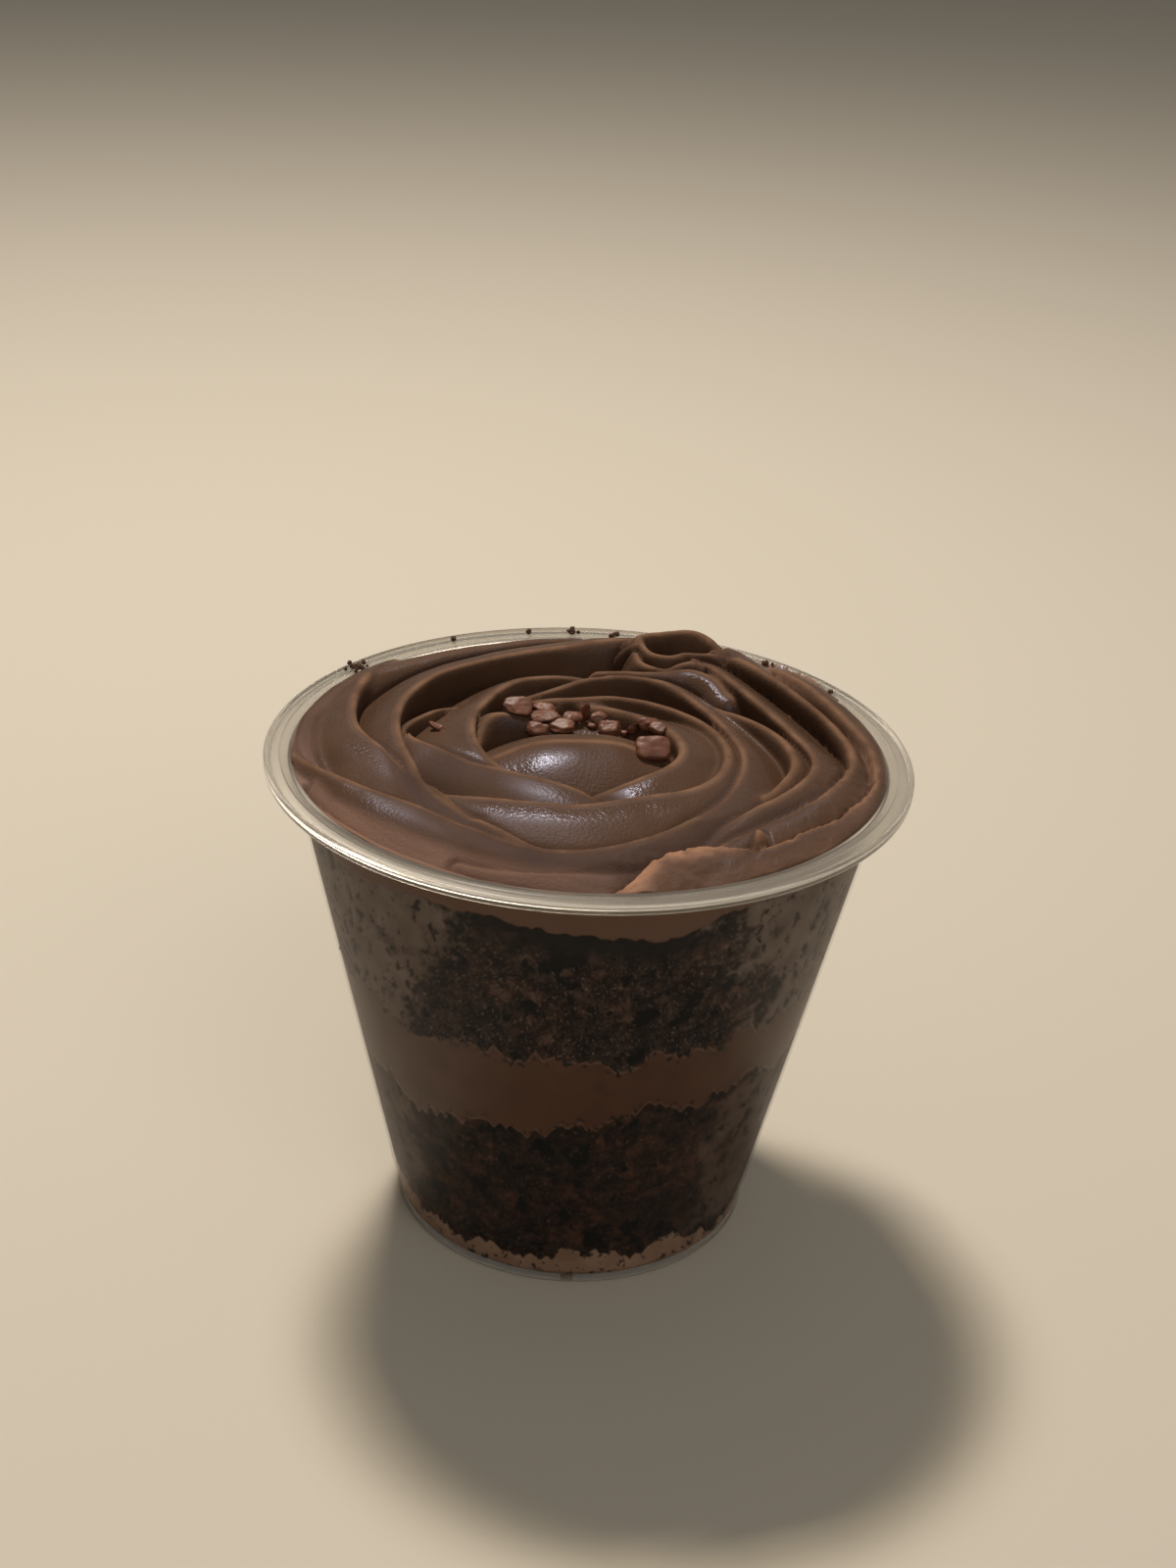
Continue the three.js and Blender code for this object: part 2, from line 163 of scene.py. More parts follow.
def maths(tree, operation, first, second):
    """A maths node on two sockets, or on a socket and a number."""
    if isinstance(second, bpy.types.NodeSocket):
        node = add(tree, "ShaderNodeMath", {0: first, 1: second}, operation=operation)
    else:
        node = add(tree, "ShaderNodeMath", {0: first}, {1: second}, operation=operation)
    return node.outputs[0]


def map_range(tree, value, top, low, high):
    """Maps a value from 0 to `top` onto `low` to `high`; low may be a socket."""
    inputs = {"From Max": top, "To Max": high}
    links = {"Value": value}
    (links if isinstance(low, bpy.types.NodeSocket) else inputs)["To Min"] = low
    return add(tree, "ShaderNodeMapRange", links, inputs).outputs[0]


def ramp(tree, fac, stops):
    """A colour ramp through (position, hex colour) stops."""
    node = add(tree, "ShaderNodeValToRGB", links={"Fac": fac})
    band = node.color_ramp
    while len(band.elements) < len(stops):
        band.elements.new(0.5)
    for element, (place, code) in zip(band.elements, stops):
        element.position = place
        element.color = linear(code)
    return node.outputs["Color"]


def blend_colours(tree, fac, first, second, mode="MIX"):
    """Mixes two colours; each is a socket or a hex code, and fac a socket or a number."""
    node = add(tree, "ShaderNodeMix", data_type="RGBA", blend_type=mode)
    for key, value in (("Factor", fac), ("A", first), ("B", second)):
        wanted = "RGBA" if key != "Factor" else "VALUE"
        socket = next(s for s in node.inputs if s.name == key and s.type == wanted)
        if isinstance(value, bpy.types.NodeSocket):
            tree.links.new(value, socket)
        else:
            socket.default_value = linear(value) if isinstance(value, str) else value
    return next(s for s in node.outputs if s.type == "RGBA")


def texture(tree, size_mm, detail=2.0, rough=0.55, stretch=(1, 1, 1)):
    """Noise from object coordinates, one bump about size_mm across."""
    place = add(tree, "ShaderNodeTexCoord").outputs["Object"]
    scaled = add(tree, "ShaderNodeMapping", links={"Vector": place}, inputs={"Scale": stretch})
    links = {"Vector": scaled.outputs["Vector"]}
    inputs = {"Scale": 1 / (size_mm * MM), "Detail": detail, "Roughness": rough}
    return add(tree, "ShaderNodeTexNoise", links=links, inputs=inputs).outputs["Fac"]


def attribute(tree, name):
    """A named point value of the mesh."""
    return add(tree, "ShaderNodeAttribute", attribute_name=name).outputs["Fac"]


def bump(tree, height, distance_mm, strength):
    """A normal from a height, for grain finer than the mesh."""
    inputs = {"Strength": strength, "Distance": distance_mm * MM}
    return add(tree, "ShaderNodeBump", links={"Height": height}, inputs=inputs).outputs["Normal"]


def finish_surface(tree, out, links, inputs):
    """Ends a material with one principled shader."""
    shader = add(tree, "ShaderNodeBsdfPrincipled", links=links, inputs=inputs)
    tree.links.new(shader.outputs[0], out.inputs["Surface"])


# %% [markdown]
# ## Materials
# Each material is named for what it is. Patterns are scaled from millimetres.

# %% Clear plastic
def clear_plastic():
    """Moulded clear plastic, a little milky in the thick rim. Shadow rays pass straight
    through, so the food is lit."""
    material, tree, out = new_material("clear plastic")
    wavy = bump(tree, texture(tree, 6.0), 0.05, 0.15)
    rim = attribute(tree, "rim")
    links = {"Normal": wavy, "Base Color": blend_colours(tree, rim, "#f6f4ee", "#cdc9c0")}
    links["Specular Tint"] = blend_colours(tree, rim, "#464646", "#5a5a5a")
    ranges = (("Roughness", 0.03, 0.24), ("Transmission Weight", 1, 0.84), ("Alpha", 0.3, 1))
    for key, wall_value, rim_value in ranges:
        links[key] = map_range(tree, rim, 1.0, wall_value, rim_value)
    body = add(tree, "ShaderNodeBsdfPrincipled", links=links, inputs={"IOR": 1.5})
    open_way = add(tree, "ShaderNodeBsdfTransparent", inputs={"Color": linear("#eeebe4")})
    rays = add(tree, "ShaderNodeLightPath")
    shadow, diffuse = rays.outputs["Is Shadow Ray"], rays.outputs["Is Diffuse Ray"]
    either = maths(tree, "MAXIMUM", shadow, diffuse)
    links = {0: either, 1: body.outputs[0], 2: open_way.outputs[0]}
    mix = add(tree, "ShaderNodeMixShader", links=links)
    tree.links.new(mix.outputs[0], out.inputs["Surface"])
    return material


# %% Frosting
def frosting_material():
    """Piped chocolate frosting: satin, slightly see-through, with painted light along its crests."""
    material, tree, out = new_material("chocolate frosting")
    crest, torn, crease = (attribute(tree, key) for key in ("crest", "torn", "crease"))
    uneven = ramp(tree, texture(tree, 5.0, 2.0), [(0.35, "#808080"), (0.65, "#f0f0f0")])
    body = ramp(tree, texture(tree, 9.0, 3.0), [(0.3, "#533d2d"), (0.7, "#5d4636")])
    tints = [
        # thin frosting by the rim, lighter partly by its own colour and partly as painted light
        (attribute(tree, "thin_and_painted_light"), "#86695a"),
        # painted light along the crests, standing in for light that glows through their thin edges
        (maths(tree, "MULTIPLY", crest, uneven), "#84654f"),
        (maths(tree, "POWER", torn, 2.0), "#ab8064"),
        (attribute(tree, "pressed"), "#6e564a"),
        # painted shade in the creases between the ropes
        (maths(tree, "MULTIPLY", crease, 0.45), "#2f1f17"),
    ]
    for share, colour in tints:
        body = blend_colours(tree, share, body, colour)
    grain = texture(tree, 0.45, 2.0)
    rough = maths(tree, "MAXIMUM", maths(tree, "MAXIMUM", torn, crease), crest)
    # wet stretches are smoother and shine more than dull ones
    sheen = attribute(tree, "sheen")
    satin = map_range(tree, sheen, 0.8, 0.45, 0.23)
    dull = map_range(tree, rough, 0.3, satin, 0.8)
    shine = map_range(tree, sheen, 0.8, 0.1, 0.34)
    inputs = {
        "IOR": 1.46,
        # the shine is tinted blue, the painted colour of a bluish window light
        "Specular Tint": linear("#c8d6ff"),
        "Subsurface Weight": 0.1,
        "Subsurface Radius": (1.0, 0.45, 0.25),
        "Subsurface Scale": 0.8 * MM,
    }
    links = {"Base Color": body, "Normal": bump(tree, grain, 0.12, 0.7)}
    links["Roughness"] = dull
    links["Specular IOR Level"] = shine
    finish_surface(tree, out, links, inputs)
    return material


# %% Cake
def cake_material(name, crumb, speck, film_colour):
    """Dark chocolate crumb against the wall: clumps, bright grains and holes filled with
    painted shade, with a film of fat smeared over parts of it and a damp smooth band."""
    material, tree, out = new_material(name)
    clumps = texture(tree, 2.4, 6.0, 0.75)
    body = ramp(tree, clumps, list(zip((0.38, 0.5, 0.6), crumb)))
    regions = ramp(tree, texture(tree, 11.0, 2.0), [(0.4, "#b8b2b0"), (0.6, "#ffecdf")])
    body = blend_colours(tree, 1.0, body, regions, "MULTIPLY")
    grains = texture(tree, 0.45, 3.0, 0.65)
    bright = ramp(tree, grains, [(0.57, "#000000"), (0.72, "#e8e8e8")])
    body = blend_colours(tree, bright, body, speck)
    holes = texture(tree, 4.2, 4.0, 0.6, (1.0, 1.0, 0.8))
    # painted shade: the holes of the crumb are filled with near black
    painted_hole_shade = ramp(tree, holes, [(0.405, "#ffffff"), (0.412, "#000000")])
    body = blend_colours(tree, painted_hole_shade, body, "#020202")
    body = blend_colours(tree, attribute(tree, "damp"), body, "#17120f")
    # the film is broken into grains at its edges and has long gaps, painted near black as shade
    film = attribute(tree, "film")
    grit = texture(tree, 0.9, 4.0, 0.7)
    fray = maths(tree, "ADD", film, grit)
    covered = ramp(tree, fray, [(0.65, "#000000"), (1.25, "#f4f4f4")])
    cloud = ramp(tree, texture(tree, 5.0, 3.0), [(0.3, film_colour[0]), (0.7, film_colour[1])])
    body = blend_colours(tree, covered, body, cloud)
    gaps = texture(tree, 1.6, 5.0, 0.6, (1.0, 1.0, 0.7))
    gap_shade_mask = ramp(tree, gaps, [(0.425, "#ffffff"), (0.43, "#000000")])
    inside = maths(tree, "MULTIPLY", covered, gap_shade_mask)
    body = blend_colours(tree, inside, body, "#0a0604")
    inputs = {"Roughness": 0.75, "IOR": 1.4}
    links = {"Base Color": body, "Normal": bump(tree, grains, 0.3, 0.9)}
    finish_surface(tree, out, links, inputs)
    return material


# %% Cream, chocolate bits and crumbs
def plain_cream(name, dark, light):
    """Smooth chocolate cream pressed against the wall, with crumb caught near its seams."""
    material, tree, out = new_material(name)
    body = ramp(tree, texture(tree, 5.0, 3.0), [(0.35, dark), (0.65, light)])
    near = attribute(tree, "seam")
    lip = ramp(tree, near, [(0.55, "#000000"), (0.85, "#a0a0a0")])
    body = blend_colours(tree, lip, body, "#8a6b5a")
    flecks = ramp(tree, texture(tree, 1.0, 3.0), [(0.56, "#000000"), (0.6, "#ffffff")])
    caught = maths(tree, "MULTIPLY", near, flecks)
    sure = ramp(tree, caught, [(0.15, "#000000"), (0.3, "#ffffff")])
    body = blend_colours(tree, sure, body, "#120a06")
    finish_surface(tree, out, {"Base Color": body}, {"Roughness": 0.5, "IOR": 1.45})
    return material


def chocolate_material():
    """Milk chocolate bits with a soft shine."""
    material, tree, out = new_material("milk chocolate")
    body = ramp(tree, texture(tree, 2.0, 3.0), [(0.3, "#603827"), (0.7, "#7f513b")])
    links = {"Base Color": body, "Normal": bump(tree, texture(tree, 0.5), 0.05, 0.5)}
    inputs = {"Roughness": 0.48, "IOR": 1.46, "Subsurface Weight": 0.15}
    inputs["Subsurface Radius"] = (1.0, 0.4, 0.2)
    inputs["Subsurface Scale"] = 0.5 * MM
    finish_surface(tree, out, links, inputs)
    return material


def crumb_material():
    """Loose dark cake crumbs."""
    material, tree, out = new_material("cake crumbs")
    body = ramp(tree, texture(tree, 0.5, 2.0), [(0.3, "#35221a"), (0.7, "#6b4936")])
    finish_surface(tree, out, {"Base Color": body}, {"Roughness": 0.85})
    return material


plastic = clear_plastic()
frosting = frosting_material()
upper_crumb = cake_material(
    "upper chocolate cake", ("#0b0808", "#2d201d", "#564640"), "#86736b", ("#64544a", "#80706a")
)
lower_crumb = cake_material(
    "lower chocolate cake", ("#0a0605", "#291913", "#4e352b"), "#6c564d", ("#4a382d", "#6a564b")
)
filling_cream = plain_cream("chocolate cream filling", "#4a2d1d", "#563826")
bottom_cream = plain_cream("pale chocolate cream", "#8a6c5a", "#a28674")
milk_chocolate = chocolate_material()
crumbs = crumb_material()
print(len(bpy.data.materials), "materials")

# %% [markdown]
# ## The rose as a height function
# The rope of frosting left a star-shaped tip, so it carries sharp ridges. Each entry is
# one ridge: its turn in degrees round the cup's axis or a centre of its own, its radius
# and crest height above the rim at even steps along the turn, and how wide its flanks
# are. Ridges with the same rope letter lie on one rope, with a soft hollow between them.
# Some have a flank shape (power), fainter painted light on the crest (sharp), a torn face's
# width (torn), or a place of their own for the wet shine (wet, wet_from).

# %% Ridges of the rose
RIDGES = [
    # rounded heart of the rose
    dict(rope="a", centre=(0, -40), turn=(72, 113), radius=[36, 36, 36.3],
         crest=[1.3, 3.1, 3.3, 2.8, 0.6], inside=[13, 15, 13], outside=[5, 6, 5], power=2.2,
         wet=4, wet_from=0.48),
    # small lobe left of the heart
    dict(rope="b", turn=(140, 186), radius=[9, 12, 15, 15.4, 15],
         crest=[1.5, 2.6, 2.8, 1.5, 0], inside=[6, 6, 5], outside=[3, 3, 3]),
    # low ridge behind the heart
    dict(rope="b", turn=(15, 150), radius=[8, 7, 7, 8, 9], crest=[-0.8, 0, 0.5, 1, 1.4],
         inside=[11, 11], outside=[5, 4], power=2, sharp=0.2),
    # first turn, inner ridge
    dict(rope="c", turn=(-94, 108),
         radius=[15.8, 15.7, 15.4, 14.6, 12.4, 10.3, 8.9, 8.5, 9.6, 12.9],
         crest=[0.6, 2.4, 3, 3.2, 3.2, 3.1, 3, 2.6, 1],
         inside=[4, 4, 3, 3, 3], outside=[5, 5.5, 5.5, 3.5, 3]),
    # first turn, outer ridge
    dict(rope="c", turn=(-144, 125),
         radius=[25.9, 24.4, 23.6, 21.8, 22.5, 20.8, 18.3, 15.9, 14.2, 13.1, 12.8, 15.9],
         crest=[0.4, 2.4, 2.9, 3, 3, 3, 3, 3, 3, 2.4, 1],
         inside=[3.5, 3.5, 4, 4.5, 4, 3, 3, 3, 3], outside=[6, 7, 7.5, 5, 2.2, 2, 2.5, 3, 3]),
    # left side, broad inner fold
    dict(rope="d", turn=(88, 272), radius=[21.3, 20.8, 18, 16.8, 16.8, 16.6, 16.6],
         crest=[1.6, 2.7, 2.9, 2.9, 2.7, 1.6, 0],
         inside=[2.5, 2.5, 2.5, 2.5, 3, 3, 3], outside=[3.5, 3.5, 4, 6, 7, 6, 5]),
    # left side, petal outside it
    dict(rope="o", turn=(179, 284), radius=[25.3, 21.6, 19, 17.4, 16.8, 16.8, 17.5],
         crest=[1.2, 2.4, 2.8, 2.9, 2.7, 1.9, 0.4], inside=[2, 2, 3, 4, 5],
         outside=[3, 4, 5, 6, 6]),
    # second turn, the longest ridge
    dict(rope="e", turn=(-280, 128),
         radius=[37.6, 32, 29.7, 29.5, 28.6, 27.2, 26.7, 27.9, 30.2, 33.4, 31.2, 27,
                 24.2, 22.2, 19.9, 19.2, 20.2, 22.2, 20.6, 17.3, 17.2],
         crest=[2.2, 2.6, 2.9, 2.9, 2.8, 2.6, 2.5, 2.3, 2, 1.9, 2.1, 2.3,
                2.6, 2.8, 2.8, 2.8, 2.8, 2.8, 2.6, 2, 0.8],
         inside=[6.5, 4.5, 3, 2.6, 2.5, 2.5, 2.5, 2.5, 3, 3, 3, 3, 2.5, 2, 2, 2, 2.5,
                 3.5, 3.5, 3, 3],
         outside=[5, 5, 5, 4.5, 4, 4, 4, 5, 6.5, 6, 4, 4, 4, 3.5, 3.5, 3.5, 3.5, 3.5,
                  3, 3, 3]),
    # second turn, ridge outside it on the right
    dict(rope="e", turn=(-37, 45), radius=[27.1, 28.6, 29.3, 28, 26, 23.5, 21.6, 20.7],
         crest=[0.6, 1.8, 2.4, 2.5, 2.5, 2.5, 2, 0.6],
         inside=[3, 3.5, 3.5, 3, 2.5], outside=[2, 2, 2, 2, 2]),
    # broad shining fold at the back
    dict(rope="f", turn=(43, 88), radius=[27.6, 29.2, 28.6, 25, 24.4, 24.8],
         crest=[1, 2.2, 2.8, 2.6, 2.2, 1.4], inside=[8, 8, 7, 6], outside=[2, 2, 2, 2]),
    # third turn, inner ridge
    dict(rope="f", turn=(-114, 62),
         radius=[39.2, 38.4, 33.4, 29.6, 29, 30.7, 31.6, 28.8, 27.9, 29.3, 32.6],
         crest=[0.3, 0.8, 0.9, 1.2, 1.6, 2, 2.2, 2.5, 2.6, 2.8, 2.9],
         inside=[2, 2, 2.5, 3, 3, 2.5, 2, 2, 2, 2],
         outside=[2.5, 3, 4.5, 5, 4.5, 4, 3.5, 3.5, 3.5, 3.5]),
    # third turn, outer ridge
    dict(rope="g", turn=(-68, 60),
         radius=[34.2, 31.7, 31.8, 34.9, 37, 35.8, 35, 35.9, 37.3],
         crest=[0.5, 0.9, 1.2, 1.5, 1.7, 2.1, 2.5, 2.8, 3.1],
         inside=[2.5, 2.5, 3, 3.5, 3, 3, 3], outside=[7, 7, 6, 3, 2, 2.5, 6]),
    # curl at the rope's end, inner bend
    dict(rope="h", centre=(11, 32), turn=(145, 325), radius=[6.4, 5, 4.8, 6.2, 6.8, 5.4, 6],
         crest=[3.2, 3, 2.8, 2.6, 2.6, 2.8, 2.9],
         inside=[2.5, 2.5, 2.5], outside=[1.6, 1.6, 2, 3, 3.5]),
    # curl, middle bend
    dict(rope="i", centre=(12.5, 33.5), turn=(172, 350), radius=[5.4, 5.2, 5.4, 4.7, 3.7, 4.2, 7.4],
         crest=[3.8, 3.6, 3.4, 3.3, 3.3, 3.1, 3], inside=[2, 2, 2.5, 2.5], outside=[2, 2, 2, 2]),
    # curl, raised lip at the back
    dict(rope="i", centre=(12.5, 31), turn=(0, 165), radius=[8.2, 6.6, 5.4, 4.4, 4, 4.8, 6.3, 6.4],
         crest=[3, 3.6, 4.6, 4.9, 4.8, 4.4, 4, 3.6], inside=[2.2, 2.2, 2.2], outside=[2.5, 2.5, 2.5]),
    # torn flake and the band along the rim
    dict(rope="j", turn=(-83, 58),
         radius=[41, 35.2, 34.2, 34.9, 36.4, 37.6, 37.4, 38.6, 39.3, 39.9, 40.6, 40.3,
                 40, 39.6, 39.2, 39.2, 39.5, 40.2, 41.2, 42, 42.6],
         crest=[-0.3, 0.9, 1.5, 1.6, 1.2, 0.9, 0.9, 0.9, 0.9, 0.9, 1, 1.05,
                1.1, 1.2, 1.3, 1.35, 1.4, 1.4, 1.1, 0.3, -1],
         inside=[0.9, 0.9, 0.9, 1, 1.2, 1.4, 2, 2, 2],
         outside=[5, 7, 8, 7.5, 6.5, 6, 6, 6, 5, 4.5, 4],
         torn=[2.6, 3.4, 1.6, 0.5, 0.5, 0.5, 0.5, 0.5, 0.5, 0.5, 0.5]),
    # spike that stands up from the torn flake
    dict(rope="p", centre=(-18, -27.7), turn=(-4.8, 4.8), radius=[39.8, 40.4, 40.8],
         crest=[0.8, 2.4, 1.3], inside=[2, 2], outside=[1.2, 1.2], torn=[2, 2]),
    # big fold at the front left
    dict(rope="k", turn=(189, 286),
         radius=[42, 38.4, 34.9, 32.4, 31.7, 32.6, 33.2, 32.3, 30.4],
         crest=[1, 1.6, 1.9, 2, 2, 2, 1.8, 1.5, 0.8], inside=[2, 3.5, 4, 4],
         outside=[1, 2.4, 4.6, 6.4, 7, 7, 6.5, 5.5, 4.5]),
    # small ridge over the hollow
    dict(rope="l", turn=(150, 178), radius=[21.5, 23.5, 26],
         crest=[1.2, 1.9, 1.6], inside=[1.6, 1.6], outside=[2.5, 2.5]),
    # thin film left on the wall
    dict(rope="m", turn=(202, 268), radius=[41.5, 41.5],
         crest=[-1.8, -0.3, 0, 0, -0.1, -0.5, -1.6], inside=[1.2, 2.5], outside=[9, 9]),
    # left side, inner of two outer folds
    dict(rope="n", turn=(138, 240), radius=[41.5, 38, 35.2, 32.8, 29, 27.4, 27.5, 29],
         crest=[0.6, 2, 2.4, 2.4, 2.3, 2.1, 1.7],
         inside=[3.5, 3, 2.5, 3, 3, 3], outside=[3, 4, 5, 7, 8, 8]),
    # left side, outer of the two
    dict(rope="n", turn=(80, 200),
         radius=[38.4, 37.6, 36.3, 36.4, 38.6, 40.2, 40.3, 39.2],
         crest=[1.4, 1.5, 1.7, 1.8, 1.6, 1.3, 1.1, 0.4],
         inside=[5, 7, 8, 8, 8], outside=[4, 4, 5, 5, 5], sharp=0.2),
]
DEEPEST = -4.5  # bottom of the deepest folds, from the rim
FAR_BELOW = -99.0  # height of a ridge where it doesn't reach
SOFT_JOIN = 1.4
SHARP_JOIN = 0.3
CREST_ROUND = 0.3
CREST_WIDTH = 0.42  # how far the painted light along a crest reaches
SHEEN_REACH = 1.9  # the wet shine is strongest this far from a crest
SHEEN_WIDTH = 1.5
FLANK_DROP = 3  # how far a flank falls over its own width
END_DROP = 0.5  # how fast a ridge falls off past its ends
END_REACH = 12  # mm past its ends where it has gone
CREASE_DEPTH = 0.7  # how far a crease between two ropes sinks below where they meet
CREASE_WIDTH = 0.7
INSIDE_SCALE = 0.55  # the inner flanks are steeper than the outer ones
OUTSIDE_SCALE = 1.12
LEAN = 0.45  # how far the ropes lean inwards for each mm of height
LEAN_LEVEL = 2.4  # height over the rim that stays in place
print(len(RIDGES), "ridges on", len({r["rope"] for r in RIDGES}), "ropes")


# %% Height of the rose
def curve_at(values, t):
    """Value of an evenly spaced list at t from 0 to 1, on a curve through its entries."""
    v = np.asarray(values, float)
    last = len(v) - 1
    place = np.clip(t, 0, 1) * last
    i = np.minimum(place.astype(int), last - 1)
    f = place - i
    a, b, c, d = (v[np.clip(i + k, 0, last)] for k in (-1, 0, 1, 2))
    return 0.5 * (2 * b + (c - a) * f + (2 * a - 5 * b + 4 * c - d) * f**2
                  + (3 * b - a - 3 * c + d) * f**3)


def rounded_max(a, b, width):
    """The higher of two heights, with the crease between them rounded."""
    h = np.clip(0.5 + 0.5 * (b - a) / width, 0, 1)
    return a * (1 - h) + b * h + width * h * (1 - h)


def ridge_height(ridge, x, y):
    """Height of one ridge over the rim, and from 0 to 1 how close a point is to its crest,
    how much it lies on a torn face and how wet it looks."""
    centre = ridge.get("centre", (0, 0))
    dx = x - centre[0]
    dy = y - centre[1]
    radius = np.hypot(dx, dy)
    angle = np.degrees(np.arctan2(dy, dx))
    start, end = ridge["turn"]
    span = math.radians(end - start)
    best = np.full(x.shape, FAR_BELOW)
    near, torn, sheen = (np.zeros(x.shape) for _ in range(3))
    for wrap in (-360, 0, 360):
        t = (angle + wrap - start) / (end - start)
        along = np.clip(t, 0, 1)
        past_end = np.abs(t - along) * span * np.maximum(radius, 1)
        crest_radius = curve_at(ridge["radius"], along)
        ahead = curve_at(ridge["radius"], np.clip(along + 0.001, 0, 1))
        behind = curve_at(ridge["radius"], np.clip(along - 0.001, 0, 1))
        growth = (ahead - behind) / (0.002 * span)
        offset = (radius - crest_radius) / np.hypot(1, growth / crest_radius)
        inner = INSIDE_SCALE * curve_at(ridge["inside"], along)
        outer = OUTSIDE_SCALE * curve_at(ridge["outside"], along)
        width = np.where(offset < 0, inner, outer)
        away = np.hypot(offset, CREST_ROUND) - CREST_ROUND
        power = ridge.get("power", np.interp(width, [3, 6.5], [1.4, 2]))
        flank = FLANK_DROP * (away / width) ** power
        z = curve_at(ridge["crest"], along) - flank - END_DROP * past_end**2
        z = np.where(past_end > END_REACH, FAR_BELOW, z)
        # closeness to the crest, which carries the painted light along crests and makes them rougher
        sharp = ridge.get("sharp", 1) * np.exp(-((away / CREST_WIDTH) ** 2))
        near = np.where(z > best, sharp, near)
        wet = np.exp(-(((away - ridge.get("wet", SHEEN_REACH)) / SHEEN_WIDTH) ** 2))
        wet = wet * np.clip((width - 2.5) / 1.5, 0, 1)
        wet = wet * np.clip((along - ridge.get("wet_from", -1)) / 0.2, 0, 1)
        sheen = np.where(z > best, wet, sheen)
        if "torn" in ridge:
            reach = np.where(offset < 0, 0.6, curve_at(ridge["torn"], along))
            torn = np.where(z > best, np.exp(-((offset / reach) ** 2)), torn)
        best = np.maximum(best, z)
    return best, near, torn, sheen


def rose(x, y):
    """Height of the frosting over the rim, the highest ridge at each place, and from 0 to
    1 how close that place is to a crest, how torn it is, how near a crease and how wet."""
    ropes = {}
    top = np.full(x.shape, FAR_BELOW)
    crest, torn, sheen = (np.zeros(x.shape) for _ in range(3))
    for ridge in RIDGES:
        z, near, rough, wet = ridge_height(ridge, x, y)
        name = ridge["rope"]
        crest = np.where(z > top, near, crest)
        torn = np.where(z > top, rough, torn)
        sheen = np.where(z > top, wet, sheen)
        top = np.maximum(top, z)
        ropes[name] = rounded_max(ropes[name], z, SOFT_JOIN) if name in ropes else z
    layers = np.sort(np.stack(list(ropes.values())), axis=0)
    height = rounded_max(np.full(x.shape, DEEPEST), layers[-1], SHARP_JOIN)
    crease = np.exp(-(layers[-1] - layers[-2]) / CREASE_WIDTH)
    return np.maximum(height - CREASE_DEPTH * crease, DEEPEST), crest, torn, crease, sheen


# %% [markdown]
# ## Seams between the layers
# A seam's wall heights are listed every 15 degrees. Fine noise makes them ragged, and
# the pieces on both sides of a seam use the same line.

# %% Seam heights
SEAMS = {
    "base_cream": [4.2, 3.4, 4.6, 3.8, 3, 4.4, 5, 3.6, 3.2, 4.4, 4.8, 3.8, 3.4,
                   4.6, 5, 3.6, 4.2, 3.2, 5.2, 3.4, 4.8, 4.2, 3, 4],
    "lower_cake": [33.5, 33, 31.5, 31, 32.5, 34, 33, 31, 30, 31, 32, 31.5, 30,
                   29.5, 29, 27.5, 29.5, 28.5, 31.5, 33.5, 32.5, 34, 33.5, 33.5],
    "filling": [43.5, 44.5, 44, 43, 43.5, 45, 44.5, 43.5, 42.5, 43, 44.5, 45, 44.5,
                44.5, 45, 43, 42.5, 44, 43.3, 43.6, 44.3, 45, 44, 43],
    "upper_cake": [68, 67.5, 67, 67.5, 68.5, 68, 67, 66.5, 67, 68, 67.5, 66.5, 66.5,
                   67, 66.5, 66.5, 67.3, 67.3, 66.2, 65, 68.8, 69, 68.5, 68],
}
RAGGED = {"base_cream": 1.5, "lower_cake": 1.6, "filling": 1.4, "upper_cake": 0.5}
COLUMNS = 720


def seam(name, angle):
    """Wall height of a seam at angles in radians from 0 to a full turn."""
    levels = SEAMS[name]
    wrapped = levels[-1:] + levels + levels[:2]
    t = (angle / (2 * math.pi) * len(levels) + 1) / (len(wrapped) - 1)
    z = curve_at(wrapped, t)
    line = polar(inner_wall(z), angle, z * 0 + 10 * list(SEAMS).index(name))
    ragged = 1.7 * bumps(line, 5.5, 2) + 1.5 * np.abs(bumps(line, 2.4, 2, 1)) - 0.35
    fine = 0.16 * bumps(line, 0.8, 2, 6)
    return np.maximum(z + RAGGED[name] * ragged + fine, FLOOR_RISE + WALL + 0.3)


ANGLES = np.linspace(0, 2 * math.pi, COLUMNS, endpoint=False)
seam_lines = {name: seam(name, ANGLES) for name in SEAMS}
for name, line in seam_lines.items():
    print(name, "seam from", round(line.min(), 1), "to", round(line.max(), 1), "mm")

# %% [markdown]
# ## The cup
# The cup is turned from its outline: a raised floor, a foot ring, a small step, a
# straight wall, and a flat rim with a fine groove and a rolled edge.

# %% Turn the cup
def rounded_outline(corners, reach, steps=4):
    """Replaces each corner of a closed outline by a short arc reaching `reach` each way."""
    points = []
    count = len(corners)
    for i in range(count):
        before, corner, after = (np.array(corners[(i + k) % count]) for k in (-1, 0, 1))
        if corner[0] == 0:
            points.append(corner)
            continue
        ways = [w / np.linalg.norm(w) for w in (before - corner, after - corner)]
        lengths = [np.linalg.norm(before - corner), np.linalg.norm(after - corner)]
        cut = min(reach, 0.45 * min(lengths))
        start, end = corner + cut * ways[0], corner + cut * ways[1]
        for t in np.linspace(0, 1, steps):
            points.append((1 - t) ** 2 * start + 2 * t * (1 - t) * corner + t**2 * end)
    return np.array(points)


